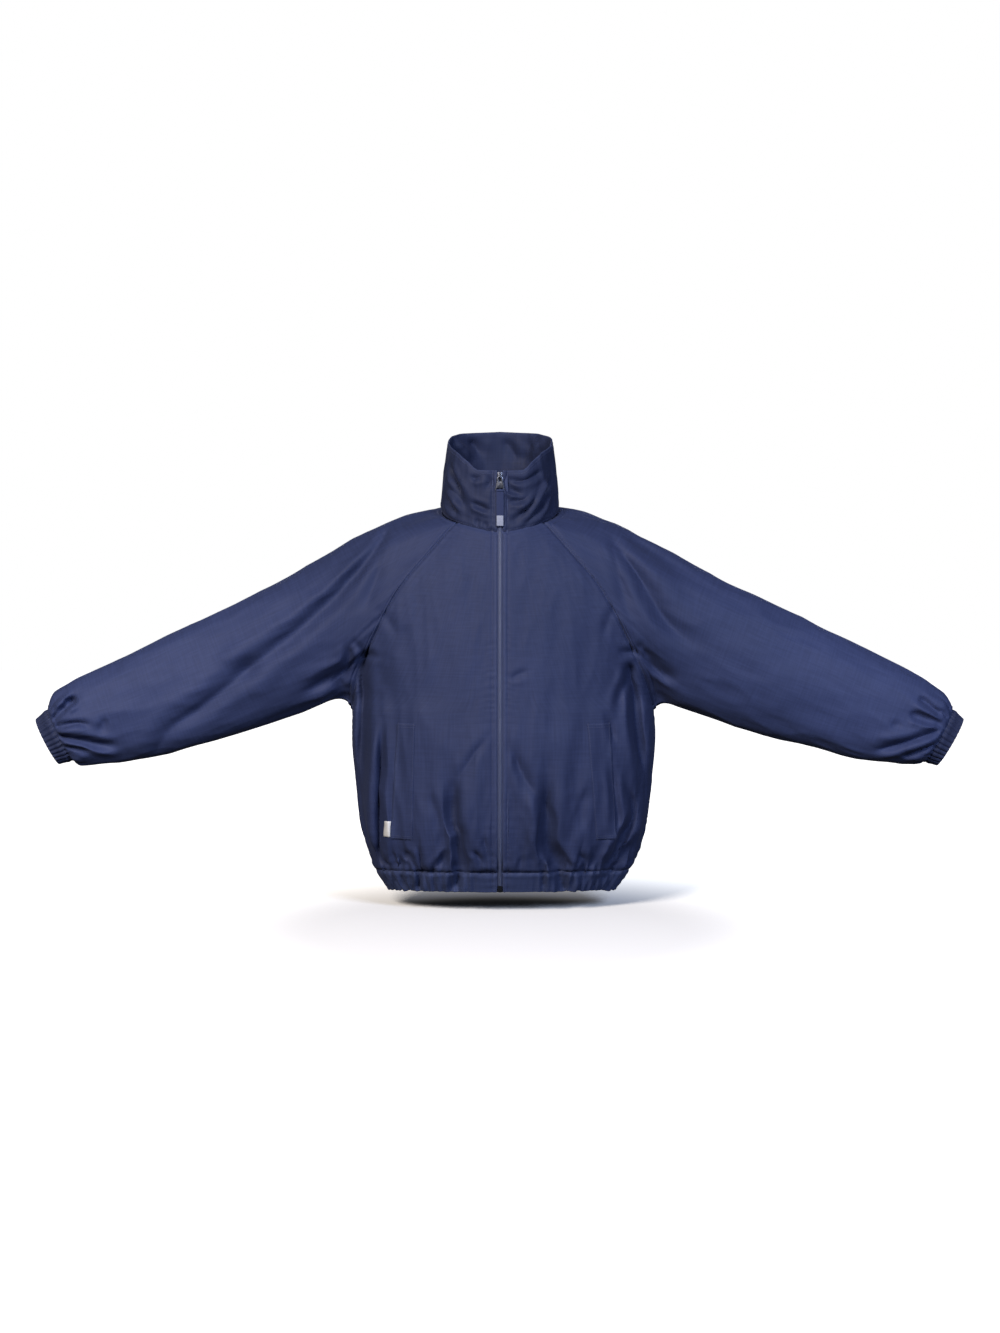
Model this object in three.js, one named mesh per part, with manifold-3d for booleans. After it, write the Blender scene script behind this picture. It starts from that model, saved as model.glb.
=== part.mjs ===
// A hip-length zip windbreaker with raglan sleeves, a funnel collar and an elasticated hem and cuffs,
// hollow and filled out as it is when worn. Units are millimetres, +Z is up.
// The front faces -Y and the wearer's left arm points along +X.
// The origin is the middle of the neck opening, at the height where the collar meets the shoulders.
import * as THREE from "three";
import Module from "manifold-3d";

const kernel = await Module();
kernel.setup();
const { Manifold, Mesh } = kernel;

// Driving dimensions of the cloth and its seams
const CLOTH = 1.6; // nylon shell with its mesh lining
const SEAM_GAP = 0.3; // between two pieces that are sewn together
const LAID_ON = 0.3; // between a panel and what lies on it
const ZIP_OPENING = 4.2; // from the centre line to each front edge
const LOPSIDED = 0.025; // the body hangs a little towards the wearer's left

// The neck seam, an oval that drops towards the front
const NECK = { halfWidth: 93, frontY: -88, backY: 70, frontZ: -34, backZ: 16, rise: 0.65 };
const NECK_RAGLAN = { front: 48.8, back: 142 }; // where the raglan seams meet it, degrees from the front

// Rows of the front and back panels, from the hem up. "centre" is the middle line, "side" is the side
// seam up to the underarm and the raglan seam above it, "arc" is how far round the row turns.
const FRONT_ROWS = [
  { centreZ: -601, centreY: -97, sideX: 181, sideY: 0, sideZ: -609, arc: 90 },
  { centreZ: -564, centreY: -112, sideX: 206, sideY: 0, sideZ: -573, arc: 90 },
  { centreZ: -536, centreY: -124, sideX: 218, sideY: 0, sideZ: -543, arc: 90 },
  { centreZ: -495, centreY: -133, sideX: 231, sideY: 0, sideZ: -499, arc: 90 },
  { centreZ: -430, centreY: -137, sideX: 238, sideY: 0, sideZ: -430, arc: 90 },
  { centreZ: -370, centreY: -137, sideX: 243, sideY: 0, sideZ: -370, arc: 90 },
  { centreZ: -322, centreY: -134, sideX: 241, sideY: 0, sideZ: -322, arc: 90 },
  { centreZ: -288, centreY: -131, sideX: 235, sideY: -20, sideZ: -288, arc: 72 },
  { centreZ: -245, centreY: -127, sideX: 220, sideY: -50, sideZ: -246, arc: 60 },
  { centreZ: -200, centreY: -122, sideX: 200, sideY: -70, sideZ: -200, arc: 51 },
  { centreZ: -157, centreY: -115, sideX: 178, sideY: -81, sideZ: -155, arc: 43 },
  { centreZ: -117, centreY: -108, sideX: 152, sideY: -83, sideZ: -112, arc: 38 },
  { centreZ: -83, centreY: -100, sideX: 122, sideY: -77, sideZ: -76, arc: 38 },
  { centreZ: -56, centreY: -93, sideX: 94, sideY: -69, sideZ: -46, arc: 43 },
  { centreZ: -34, centreY: -88, sideX: 70, sideY: -61, sideZ: -22, arc: 48.8 },
];
const BACK_ROWS = [
  { centreZ: -603, centreY: 97, sideX: 181, sideY: 0, sideZ: -609, arc: 90 },
  { centreZ: -567, centreY: 110, sideX: 206, sideY: 0, sideZ: -573, arc: 90 },
  { centreZ: -538, centreY: 121, sideX: 218, sideY: 0, sideZ: -543, arc: 90 },
  { centreZ: -496, centreY: 129, sideX: 231, sideY: 0, sideZ: -499, arc: 90 },
  { centreZ: -430, centreY: 131, sideX: 238, sideY: 0, sideZ: -430, arc: 90 },
  { centreZ: -370, centreY: 130, sideX: 243, sideY: 0, sideZ: -370, arc: 90 },
  { centreZ: -322, centreY: 128, sideX: 241, sideY: 0, sideZ: -322, arc: 90 },
  { centreZ: -285, centreY: 127, sideX: 235, sideY: 24, sideZ: -286, arc: 74 },
  { centreZ: -235, centreY: 125, sideX: 219, sideY: 57, sideZ: -238, arc: 60 },
  { centreZ: -185, centreY: 121, sideX: 197, sideY: 77, sideZ: -188, arc: 51 },
  { centreZ: -135, centreY: 115, sideX: 170, sideY: 87, sideZ: -137, arc: 45 },
  { centreZ: -88, centreY: 107, sideX: 138, sideY: 88, sideZ: -88, arc: 41 },
  { centreZ: -42, centreY: 96, sideX: 102, sideY: 79, sideZ: -42, arc: 40 },
  { centreZ: -8, centreY: 83, sideX: 75, sideY: 66, sideZ: -9, arc: 39 },
  { centreZ: 16, centreY: 70, sideX: 57, sideY: 53, sideZ: 10, arc: 38 },
];
const BAND_TOP = 1; // row where the hem band is sewn to the body
const UNDERARM = 6; // row where the raglan seams start
const NECK_ROW = FRONT_ROWS.length - 1;

// Rings of each sleeve, from below the shoulder to the cuff's end: how far out and how high the middle
// is, how far the arm slopes down there, and the ring's half height and half depth.
const SLEEVES = {
  right: [
    { out: 326, z: -216, slope: 23, halfHeight: 103, halfDepth: 64 },
    { out: 423, z: -257, slope: 22, halfHeight: 97, halfDepth: 60 },
    { out: 511, z: -291, slope: 20, halfHeight: 92, halfDepth: 56 },
    { out: 590, z: -320, slope: 18, halfHeight: 83, halfDepth: 53 },
    { out: 661, z: -340, slope: 18.5, halfHeight: 70, halfDepth: 49 },
    { out: 691, z: -351, slope: 21, halfHeight: 60, halfDepth: 43 },
    { out: 705, z: -360, slope: 26, halfHeight: 46, halfDepth: 33 },
    { out: 725, z: -371, slope: 27, halfHeight: 39.5, halfDepth: 28 },
  ],
  left: [
    { out: 328, z: -216.5, slope: 23, halfHeight: 106, halfDepth: 64 },
    { out: 424, z: -256, slope: 22, halfHeight: 101, halfDepth: 60 },
    { out: 511, z: -289, slope: 20.5, halfHeight: 94, halfDepth: 56 },
    { out: 590, z: -318, slope: 19, halfHeight: 85, halfDepth: 53 },
    { out: 660, z: -340, slope: 20, halfHeight: 71, halfDepth: 49 },
    { out: 689, z: -352, slope: 24, halfHeight: 61, halfDepth: 43 },
    { out: 703, z: -361, slope: 28, halfHeight: 48, halfDepth: 33 },
    { out: 721, z: -372, slope: 29.5, halfHeight: 42, halfDepth: 28 },
  ],
};
const CUFF_SEAM = SLEEVES.right.length - 1; // place along the sleeve, where 0 is the armhole
const CUFF_END = SLEEVES.right.length;
const RAGLAN_STEPS = 10; // points along each raglan seam, shared by the panel and the sleeve
const NECK_STEPS = { front: 5, sleeve: 8, back: 6 }; // points along the neck seam, shared with the collar
const AROUND = 2 * RAGLAN_STEPS + NECK_STEPS.sleeve;
const SEAM_SHARE = RAGLAN_STEPS / AROUND; // share of a sleeve ring that starts on one raglan seam
const SHOULDER_LIFT = 0.4; // the shoulder rounds up by this share of the loft's length
const UNDERARM_LIFT = { out: -0.3, up: 1.5 }; // and the cloth under the arm gathers up into the pit

// The collar's rim: its height at each turn from the front
const RIM = { halfWidth: 85, frontY: -84, backY: 72, bulge: 1.5 };
const RIM_HEIGHTS = [
  { turn: 0, z: 62 },
  { turn: 24, z: 63 },
  { turn: 35, z: 75 },
  { turn: 52, z: 91 },
  { turn: 75, z: 101 },
  { turn: 90, z: 106 },
  { turn: 110, z: 115 },
  { turn: 135, z: 121 },
  { turn: 180, z: 124 },
];

// Gathers that the elastic makes, counted right round
const HEM_GATHERS = { count: 40, flatTurn: 22, bandDepth: 2, bodyDepth: 5, reach: 3.2 };
const CUFF_GATHERS = { count: 22, depth: 1.6 };
const WRIST_GATHERS = { count: 14, depth: 3.4, from: 4.6, to: 6.6 };

// Largest folds: troughs that run between two points seen from the front or the back
const FOLDS = [
  { face: "front", x0: -214, z0: -300, x1: -226, z1: -450, width: 9, depth: 24 },
  { face: "front", x0: -192, z0: -350, x1: -197, z1: -575, width: 8, depth: 11 },
  { face: "front", x0: -72, z0: -455, x1: -60, z1: -600, width: 11, depth: 8 },
  { face: "front", x0: -118, z0: -540, x1: -112, z1: -600, width: 9, depth: 5 },
  { face: "front", x0: 211, z0: -290, x1: 233, z1: -440, width: 9, depth: 22 },
  { face: "front", x0: 207, z0: -445, x1: 199, z1: -575, width: 8, depth: 9 },
  { face: "front", x0: 76, z0: -435, x1: 100, z1: -600, width: 11, depth: 9 },
  { face: "front", x0: -187, z0: -44, x1: -330, z1: -190, width: 15, depth: 9 },
  { face: "front", x0: -330, z0: -190, x1: -520, z1: -345, width: 17, depth: 9 },
  { face: "front", x0: -240, z0: -240, x1: -320, z1: -290, width: 13, depth: 10 },
  { face: "front", x0: 205, z0: -45, x1: 330, z1: -112, width: 12, depth: 6 },
  { face: "front", x0: 186, z0: -60, x1: 268, z1: -185, width: 13, depth: 7 },
  { face: "front", x0: 238, z0: -235, x1: 300, z1: -275, width: 13, depth: 10 },
  { face: "front", x0: -620, z0: -395, x1: -690, z1: -370, width: 8, depth: 6 },
  { face: "front", x0: 600, z0: -385, x1: 690, z1: -352, width: 9, depth: 7 },
  { face: "back", x0: -210, z0: -280, x1: -226, z1: -460, width: 10, depth: 18 },
  { face: "back", x0: 212, z0: -285, x1: 224, z1: -440, width: 10, depth: 18 },
  { face: "back", x0: -70, z0: -440, x1: -92, z1: -595, width: 12, depth: 8 },
  { face: "back", x0: 60, z0: -455, x1: 84, z1: -595, width: 12, depth: 8 },
  { face: "back", x0: -190, z0: -50, x1: -340, z1: -200, width: 15, depth: 8 },
  { face: "back", x0: 192, z0: -55, x1: 345, z1: -180, width: 15, depth: 8 },
  { face: "back", x0: -240, z0: -240, x1: -320, z1: -285, width: 13, depth: 9 },
  { face: "back", x0: 240, z0: -240, x1: 315, z1: -290, width: 13, depth: 9 },
];
const FOLD_FADE = 34; // folds fade in over this much depth from the side silhouette

// Pocket welts and the label: heights, and distances from the centre line at the top and the foot
const WELTS = [
  { name: "pocket_welt_right", side: -1, topZ: -334, footZ: -518, inTop: 134, inFoot: 138, outTop: 160, outFoot: 171 },
  { name: "pocket_welt_left", side: 1, topZ: -334, footZ: -518, inTop: 137, inFoot: 152, outTop: 172, outFoot: 183 },
];
const WELT = { cloth: 1.2, columns: 4, rows: 12 };
const LABEL = { side: -1, topZ: -490, footZ: -515, inTop: 171.4, inFoot: 173, outTop: 182, outFoot: 183.6 };
const LABEL_PATCH = { cloth: 0.8, columns: 2, rows: 3 };
const BODY = { halfWidth: 243, halfDepth: 137 }; // at the pockets

// The zip: tapes behind the front edges with their coil raised, and the hard parts on its centre line
const TAPE = { behind: CLOTH + 0.5, from: 0.2, coilTo: 2.2, flatFrom: 2.9, to: 13, cloth: 1, coilRise: 1.3 };
const TAPE_TOP = 0.94; // share of the collar's height that the tapes reach
const SLIDER = { middleZ: 54, halfHeight: 6.5, halfWidth: 3.5, ply: 1.5, bridge: 3.4, clear: 0.3 };
const CROWN = { halfWidth: 1.2, halfHeight: 3.4, bar: 1.1, inside: 3.3 };
const LINK = { top: -0.5, length: 23, topHalf: 4.6, footHalf: 7.4, ply: 1.2, bar: 1.5, eyeHalf: 1.9, eyeLength: 7 };
const SLOT = { halfWidth: 6.1, height: 3.4 }; // above the link's foot bar, for the ribbon
const RIBBON = { halfWidth: 5.7, foot: -79, ply: 0.7, eye: 1.5 };
const PATCH = { halfWidth: 5.2, length: 17, ply: 0.6 };
const BOX = { halfWidth: 3.5, rows: 0.28, forward: 1, depth: 1.5 };

const NAVY = 0x2b3358;
const cloth = new THREE.MeshStandardMaterial({ color: NAVY, roughness: 0.62, metalness: 0 });
const band = new THREE.MeshStandardMaterial({ color: 0x2a3153, roughness: 0.7, metalness: 0 });
const tape = new THREE.MeshStandardMaterial({ color: 0x3a4468, roughness: 0.75, metalness: 0 });
const metal = new THREE.MeshStandardMaterial({ color: 0x5f6270, roughness: 0.35, metalness: 1 });
const white = new THREE.MeshStandardMaterial({ color: 0xe9e9ea, roughness: 0.8, metalness: 0 });
const silver = new THREE.MeshStandardMaterial({ color: 0xb4b8c4, roughness: 0.5, metalness: 0 });

const jacket = new THREE.Group();
const radians = THREE.MathUtils.degToRad;
const { lerp, smoothstep } = THREE.MathUtils;

// A named column of a table at a place between two rows, on a smooth curve that never overshoots them.
function column(table, key, place) {
  const low = Math.min(Math.max(Math.floor(place), 0), table.length - 2);
  const rise = (k) => table[k + 1][key] - table[k][key];
  const slope = (k) => {
    if (k === 0 || k === table.length - 1) return rise(Math.min(k, table.length - 2));
    const product = rise(k - 1) * rise(k);
    return product > 0 ? (2 * product) / (rise(k - 1) + rise(k)) : 0;
  };
  const f = place - low;
  const eased = f * f * (3 - 2 * f);
  return (
    table[low][key] + rise(low) * eased + slope(low) * f * (1 - f) ** 2 - slope(low + 1) * f * f * (1 - f)
  );
}

// The place in a table at which a rising column reaches a value.
function placeOf(table, key, value) {
  const next = table.findIndex((row) => row[key] > value);
  if (next < 1) return next === 0 ? 0 : table.length - 1;
  const [low, high] = [table[next - 1][key], table[next][key]];
  return next - 1 + (value - low) / (high - low);
}

// The neck seam at a turn in degrees: 0 is the front, 90 the wearer's left, 180 the back.
function neckPoint(turn) {
  const angle = radians(turn);
  const back = (1 - Math.cos(angle)) / 2;
  return new THREE.Vector3(
    NECK.halfWidth * Math.sin(angle),
    lerp(NECK.frontY, NECK.backY, back),
    lerp(NECK.frontZ, NECK.backZ, back ** NECK.rise),
  );
}

// How deep the folds press a face of the garment in at a point, in Y.
function foldDepth(point) {
  const face = point.y < 0 ? "front" : "back";
  let depth = 0;
  for (const fold of FOLDS) {
    if (fold.face !== face) continue;
    const [dx, dz] = [fold.x1 - fold.x0, fold.z1 - fold.z0];
    const length = Math.hypot(dx, dz);
    const along = ((point.x - fold.x0) * dx + (point.z - fold.z0) * dz) / length;
    const across = ((point.x - fold.x0) * dz - (point.z - fold.z0) * dx) / length;
    const past = Math.max(-along, along - length, 0);
    depth += fold.depth * Math.exp(-((across / fold.width) ** 2) - (past / (2 * fold.width)) ** 2);
  }
  return depth * smoothstep(Math.abs(point.y), 0, FOLD_FADE) * -Math.sign(point.y);
}

// How far the elastic's gathers stand out at a turn round the hem, at a row of the body.
function hemGather(turn, row) {
  const { count, flatTurn, bandDepth, bodyDepth, reach } = HEM_GATHERS;
  const fromZip = Math.min(turn, 360 - turn);
  const gathered = smoothstep(fromZip, flatTurn, flatTurn + 8);
  const uneven = turn + 2.2 * Math.sin(radians(3 * turn)) + 1.3 * Math.sin(radians(7 * turn));
  const wave = Math.cos(radians(count * uneven));
  const slow = Math.cos(radians((count / 2) * uneven));
  if (row <= BAND_TOP) return gathered * bandDepth * wave * lerp(0.8, 1, row);
  const above = row - BAND_TOP;
  const swell = bandDepth + (bodyDepth - bandDepth) * smoothstep(above, 0, 0.7);
  const fade = 1 - smoothstep(above, 0.5, reach);
  const mixed = lerp(wave, slow, smoothstep(above, 0.2, 1.4));
  return gathered * swell * fade * mixed;
}

// A point of a front or back panel: u runs from the centre line to the side, row up the table.
function panelBase(rows, side, u, row) {
  const at = (key) => column(rows, key, row);
  const arc = radians(at("arc"));
  const reach = at("sideX") / Math.sin(arc);
  const start = rows === FRONT_ROWS ? Math.asin(ZIP_OPENING / reach) : 0;
  const angle = lerp(start, arc, u);
  const lean = 1 + side * LOPSIDED * (1 - smoothstep(row, UNDERARM - 1, UNDERARM + 3));
  const turned = (1 - Math.cos(angle)) / (1 - Math.cos(arc));
  const point = new THREE.Vector3(
    side * (reach * Math.sin(angle) * (1 + (lean - 1) * u)),
    lerp(at("centreY"), at("sideY"), turned),
    lerp(at("centreZ"), at("sideZ"), u * u),
  );
  return { point, angle: (angle * 180) / Math.PI };
}

function panelPoint(rows, side, u, row) {
  const { point, angle } = panelBase(rows, side, u, row);
  const front = rows === FRONT_ROWS;
  const nearNeck = smoothstep(row, NECK_ROW - 2, NECK_ROW);
  if (nearNeck > 0) {
    const top = panelBase(rows, side, u, NECK_ROW);
    const turn = front ? top.angle : 180 - top.angle * ((180 - NECK_RAGLAN.back) / 38);
    const seam = neckPoint(turn);
    seam.x *= side;
    point.addScaledVector(seam.sub(top.point), nearNeck);
  }
  point.y += foldDepth(point);
  if (row < UNDERARM) {
    const turn = front ? angle : 180 - angle;
    const out = hemGather(side > 0 ? turn : 360 - turn, row);
    point.x += side * out * Math.sin(radians(turn));
    point.y -= out * Math.cos(radians(turn));
  }
  return point;
}

const frontPoint = (side) => (u, row) => panelPoint(FRONT_ROWS, side, u, row);
// The back is one piece: u runs from the wearer's left side to the right side.
const backPoint = (u, row) => panelPoint(BACK_ROWS, u < 0.5 ? 1 : -1, Math.abs(1 - 2 * u), row);

// A ring of the sleeve: around is 0 underneath, 0.25 in front, 0.5 on top and 0.75 behind.
function ringPoint(side, around, along, out = 0) {
  const at = (key) => column(side > 0 ? SLEEVES.left : SLEEVES.right, key, along - 1);
  const [angle, slope] = [2 * Math.PI * around, radians(at("slope"))];
  const up = -Math.cos(angle) * (at("halfHeight") + out);
  return new THREE.Vector3(
    side * (at("out") + up * Math.sin(slope)),
    -Math.sin(angle) * (at("halfDepth") + out),
    at("z") + up * Math.cos(slope),
  );
}

// The ribs that the elastic makes in the cuff, and the looser gathers that fan out from them.
const cuffRib = (around) => {
  const angle = 2 * Math.PI * around;
  return CUFF_GATHERS.depth * (0.5 + 0.5 * Math.cos(CUFF_GATHERS.count * angle + Math.sin(2 * angle)));
};
function wristGather(around, along) {
  const { count, depth, from, to } = WRIST_GATHERS;
  const angle = 2 * Math.PI * around;
  const loose = depth * Math.cos(count * angle + 1.4 * Math.sin(3 * angle)) * smoothstep(along, from, to);
  return lerp(loose, cuffRib(around), smoothstep(along, to - 0.1, CUFF_SEAM));
}

// The edge that the sleeve is sewn to: front raglan seam, neck, back raglan seam.
const raglanRow = (around) => lerp(UNDERARM, NECK_ROW, Math.min(around, 1 - around) / SEAM_SHARE);
const neckTurn = (around) =>
  lerp(NECK_RAGLAN.front, NECK_RAGLAN.back, (around - SEAM_SHARE) / (1 - 2 * SEAM_SHARE));
function armholePoint(side, around) {
  if (around <= SEAM_SHARE) return panelPoint(FRONT_ROWS, side, 1, raglanRow(around));
  if (around >= 1 - SEAM_SHARE) return panelPoint(BACK_ROWS, side, 1, raglanRow(around));
  const point = neckPoint(neckTurn(around));
  point.x *= side;
  return point;
}

// A point of the sleeve: along is 0 at the armhole, 1 at the first ring, CUFF_SEAM at the cuff.
const sleevePoint = (side) => (around, along) => {
  if (along >= 1) {
    const point = ringPoint(side, around, along, wristGather(around, along));
    point.y += foldDepth(point) * (1 - smoothstep(along, CUFF_SEAM - 0.6, CUFF_SEAM));
    return point;
  }
  const [start, end] = [armholePoint(side, around), ringPoint(side, around, 1)];
  const chord = end.clone().sub(start);
  const arrive = ringPoint(side, around, 1.02).sub(end).setLength(chord.length());
  const leave = chord.clone();
  const top = Math.exp(-(((around - 0.5) / 0.16) ** 2));
  const pit = Math.exp(-((Math.min(around, 1 - around) / 0.09) ** 2));
  leave.z += chord.length() * (SHOULDER_LIFT * top + UNDERARM_LIFT.up * pit);
  leave.x += side * chord.length() * UNDERARM_LIFT.out * pit;
  const [t, t2, t3] = [along, along ** 2, along ** 3];
  const point = start.clone().multiplyScalar(2 * t3 - 3 * t2 + 1);
  point.addScaledVector(leave, t3 - 2 * t2 + t);
  point.addScaledVector(end, 3 * t2 - 2 * t3);
  point.addScaledVector(arrive, t3 - t2);
  point.y += foldDepth(point) * smoothstep(along, 0, 0.3);
  return point;
};

// The cuff's band: its ribs are raised on the outside only.
const cuffPoint = (side, ribbed) => (around, along) =>
  ringPoint(side, around, along, ribbed ? cuffRib(around) : 0);

// The collar: turn in degrees from the front round by the wearer's left, height from seam to rim.
function collarPoint(turn, height) {
  const angle = radians(turn);
  const back = (1 - Math.cos(angle)) / 2;
  const place = placeOf(RIM_HEIGHTS, "turn", Math.min(turn, 360 - turn));
  const seam = neckPoint(turn);
  const bulge = RIM.bulge * Math.sin(Math.PI * height);
  return new THREE.Vector3(
    lerp(seam.x, RIM.halfWidth * Math.sin(angle), height) + bulge * Math.sin(angle),
    lerp(seam.y, lerp(RIM.frontY, RIM.backY, back), height) - bulge * Math.cos(angle) * smoothstep(back, 0, 0.1),
    lerp(seam.z, column(RIM_HEIGHTS, "z", place), height),
  );
}

// The outward normal of a surface at a point, from its own neighbours.
function normalOf(surface, u, row, flip) {
  const [du, dr] = [1e-3, 1e-2];
  const across = surface(u + du, row).sub(surface(u - du, row));
  const up = surface(u, row + dr).sub(surface(u, row - dr));
  return across.cross(up).normalize().multiplyScalar(flip ? -1 : 1);
}

// Triangles between two rows of points whose counts may differ.
function stitch(lower, upper, turned, triangles) {
  let [i, j] = [0, 0];
  while (i < lower.length - 1 || j < upper.length - 1) {
    const nextLower = (i + 1) / (lower.length - 1);
    const nextUpper = (j + 1) / (upper.length - 1);
    const first = j >= upper.length - 1 || (i < lower.length - 1 && nextLower <= nextUpper);
    const triangle = first ? [lower[i], lower[i + 1], upper[j]] : [lower[i], upper[j + 1], upper[j]];
    triangles.push(turned ? triangle.reverse() : triangle);
    if (first) i += 1;
    else j += 1;
  }
}

// A closed wall of cloth. "rows" lists where each row is and the points it has in "us", from one edge to
// the other. "outer" gives the outer skin and "inner" what the inner skin is made from. "lead" is the
// direction through the wall where two pieces share a seam, and "gaps" how far each edge stays back.
function wall({ rows, outer, inner = outer, thick = CLOTH, ring = false, flip = false, lead = () => null, gaps = {} }) {
  const half = SEAM_GAP / 2;
  const gap = { start: half, end: half, low: half, high: half, ...gaps };
  const round = (u) => (ring ? ((u % 1) + 1) % 1 : u);
  const surface = (u, at) => outer(round(u), at);
  const positions = [];
  const put = (point) => positions.push(point.x, point.y, point.z) / 3 - 1;
  const [outerRows, innerRows, triangles] = [[], [], []];
  rows.forEach(({ at, us }, index) => {
    const [outerRow, innerRow] = [[], []];
    us.forEach((u, k) => {
      const point = outer(u, at);
      const shift = new THREE.Vector3();
      const keepBack = (du, dat, distance) =>
        shift.addScaledVector(surface(u + du, at + dat).sub(point).normalize(), distance);
      if (!ring && k === 0) keepBack((us[1] - u) / 100, 0, gap.start);
      if (!ring && k === us.length - 1) keepBack((us[k - 1] - u) / 100, 0, gap.end);
      if (index === 0) keepBack(0, 0.01, gap.low);
      if (index === rows.length - 1) keepBack(0, -0.01, gap.high);
      const through = lead(u, at) ?? normalOf(surface, u, at, flip);
      outerRow.push(put(point.add(shift)));
      innerRow.push(put(inner(u, at).add(shift).addScaledVector(through, -thick)));
    });
    if (ring) [outerRow, innerRow].forEach((row) => row.push(row[0]));
    outerRows.push(outerRow);
    innerRows.push(innerRow);
  });
  for (let index = 1; index < rows.length; index += 1) {
    stitch(outerRows[index - 1], outerRows[index], flip, triangles);
    stitch(innerRows[index - 1], innerRows[index], !flip, triangles);
  }
  stitch(innerRows[0], outerRows[0], flip, triangles);
  stitch(outerRows.at(-1), innerRows.at(-1), flip, triangles);
  if (!ring) {
    const edge = (all, place) => all.map((row) => row.at(place));
    stitch(edge(innerRows, 0), edge(outerRows, 0), !flip, triangles);
    stitch(edge(innerRows, -1), edge(outerRows, -1), flip, triangles);
  }
  const geometry = new THREE.BufferGeometry();
  geometry.setAttribute("position", new THREE.Float32BufferAttribute(positions, 3));
  geometry.setIndex(triangles.flat());
  geometry.computeVertexNormals();
  return geometry;
}

// Evenly spaced numbers from one value to another, in this many steps.
const steps = (from, to, count) => Array.from({ length: count + 1 }, (_, k) => lerp(from, to, k / count));
const ringSteps = (count) => steps(0, 1, count).slice(0, -1);
// Rows of a wall from one place to another; the last is left to the next stretch.
const stretch = (from, to, count, us) => steps(from, to, count).slice(0, -1).map((at) => ({ at, us }));

function add(name, geometry, material) {
  const mesh = new THREE.Mesh(geometry, material);
  mesh.name = name;
  jacket.add(mesh);
}

// Two closed shapes joined into one.
function union(first, second) {
  const [a, b] = [first, second].map((geometry) => {
    const corners = geometry.attributes.position;
    const mesh = new Mesh({
      numProp: 3,
      vertProperties: new Float32Array(corners.array),
      triVerts: geometry.index?.array ?? Uint32Array.from({ length: corners.count }, (_, k) => k),
    });
    mesh.merge();
    return new Manifold(mesh);
  });
  const joined = a.add(b).getMesh();
  const geometry = new THREE.BufferGeometry();
  geometry.setAttribute("position", new THREE.Float32BufferAttribute(joined.vertProperties, joined.numProp));
  geometry.setIndex(new THREE.BufferAttribute(joined.triVerts, 1));
  return geometry.toNonIndexed();
}

// Directions through the wall that two pieces share along a seam
function neckLead(turn) {
  const angle = radians(turn);
  return new THREE.Vector3(Math.sin(angle), -Math.cos(angle), 0.7).normalize();
}
const sideNormal = (rows, side, row) =>
  normalOf((u, at) => panelBase(rows, side, u, at).point, 1, row, (rows === FRONT_ROWS) !== side > 0);
function sideLead(rows, side, row) {
  if (row === UNDERARM) return new THREE.Vector3(side, 0, -0.6).normalize();
  if (row < UNDERARM) return sideNormal(FRONT_ROWS, side, row).add(sideNormal(BACK_ROWS, side, row)).normalize();
  const share = ((row - UNDERARM) / (NECK_ROW - UNDERARM)) * SEAM_SHARE;
  const around = rows === FRONT_ROWS ? share : 1 - share;
  const sleeveNormal = normalOf(sleevePoint(side), around, 0.02, side > 0);
  return sideNormal(rows, side, row).add(sleeveNormal).normalize();
}
const frontLead = (side) => (u, row) => {
  if (row === NECK_ROW) return neckLead(side * lerp(0, NECK_RAGLAN.front, u));
  return u === 1 ? sideLead(FRONT_ROWS, side, row) : null;
};
function backLead(u, row) {
  if (row === NECK_ROW) return neckLead(lerp(NECK_RAGLAN.back, 360 - NECK_RAGLAN.back, u));
  return u === 0 || u === 1 ? sideLead(BACK_ROWS, u === 0 ? 1 : -1, row) : null;
}
const sleeveLead = (side) => (around, along) => {
  if (along === CUFF_SEAM) return cuffLead(side)(around);
  if (along > 0) return null;
  const onNeck = around >= SEAM_SHARE && around <= 1 - SEAM_SHARE;
  if (onNeck) return neckLead(side * neckTurn(around));
  return sideLead(around < SEAM_SHARE ? FRONT_ROWS : BACK_ROWS, side, raglanRow(around));
};
const cuffLead = (side) => (around) =>
  ringPoint(side, around, CUFF_SEAM, 1).sub(ringPoint(side, around, CUFF_SEAM)).normalize();

// Rows of the body, from the hem band's seam to the neck, finer where the cloth gathers
const bodyRows = (fine, middle, plain, neck) => [
  ...stretch(BAND_TOP, BAND_TOP + 0.9, 2, steps(0, 1, fine)),
  ...stretch(BAND_TOP + 0.9, BAND_TOP + 2.4, 3, steps(0, 1, middle)),
  ...stretch(BAND_TOP + 2.4, UNDERARM, 3, steps(0, 1, plain)),
  ...steps(UNDERARM, NECK_ROW, RAGLAN_STEPS).map((at) => {
    const share = (at - UNDERARM) / (NECK_ROW - UNDERARM);
    return { at, us: steps(0, 1, Math.round(lerp(plain, neck, share))) };
  }),
];
const bandRows = (fine) => steps(0, BAND_TOP, 2).map((at) => ({ at, us: steps(0, 1, fine) }));

const SIDES = [
  { side: -1, name: "right" },
  { side: 1, name: "left" },
];

function fronts() {
  for (const { side, name } of SIDES) {
    const shared = { outer: frontPoint(side), flip: side < 0, lead: frontLead(side) };
    const rows = bodyRows(30, 24, 16, NECK_STEPS.front);
    add(`front_${name}`, wall({ ...shared, rows, gaps: { start: 0 } }), cloth);
    add(`hem_front_${name}`, wall({ ...shared, rows: bandRows(30), gaps: { start: 0, low: 0 } }), band);
  }
}

function back() {
  const shared = { outer: backPoint, lead: backLead };
  add("back", wall({ ...shared, rows: bodyRows(64, 44, 26, NECK_STEPS.back) }), cloth);
  add("hem_back", wall({ ...shared, rows: bandRows(64), gaps: { low: 0 } }), band);
}

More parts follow.
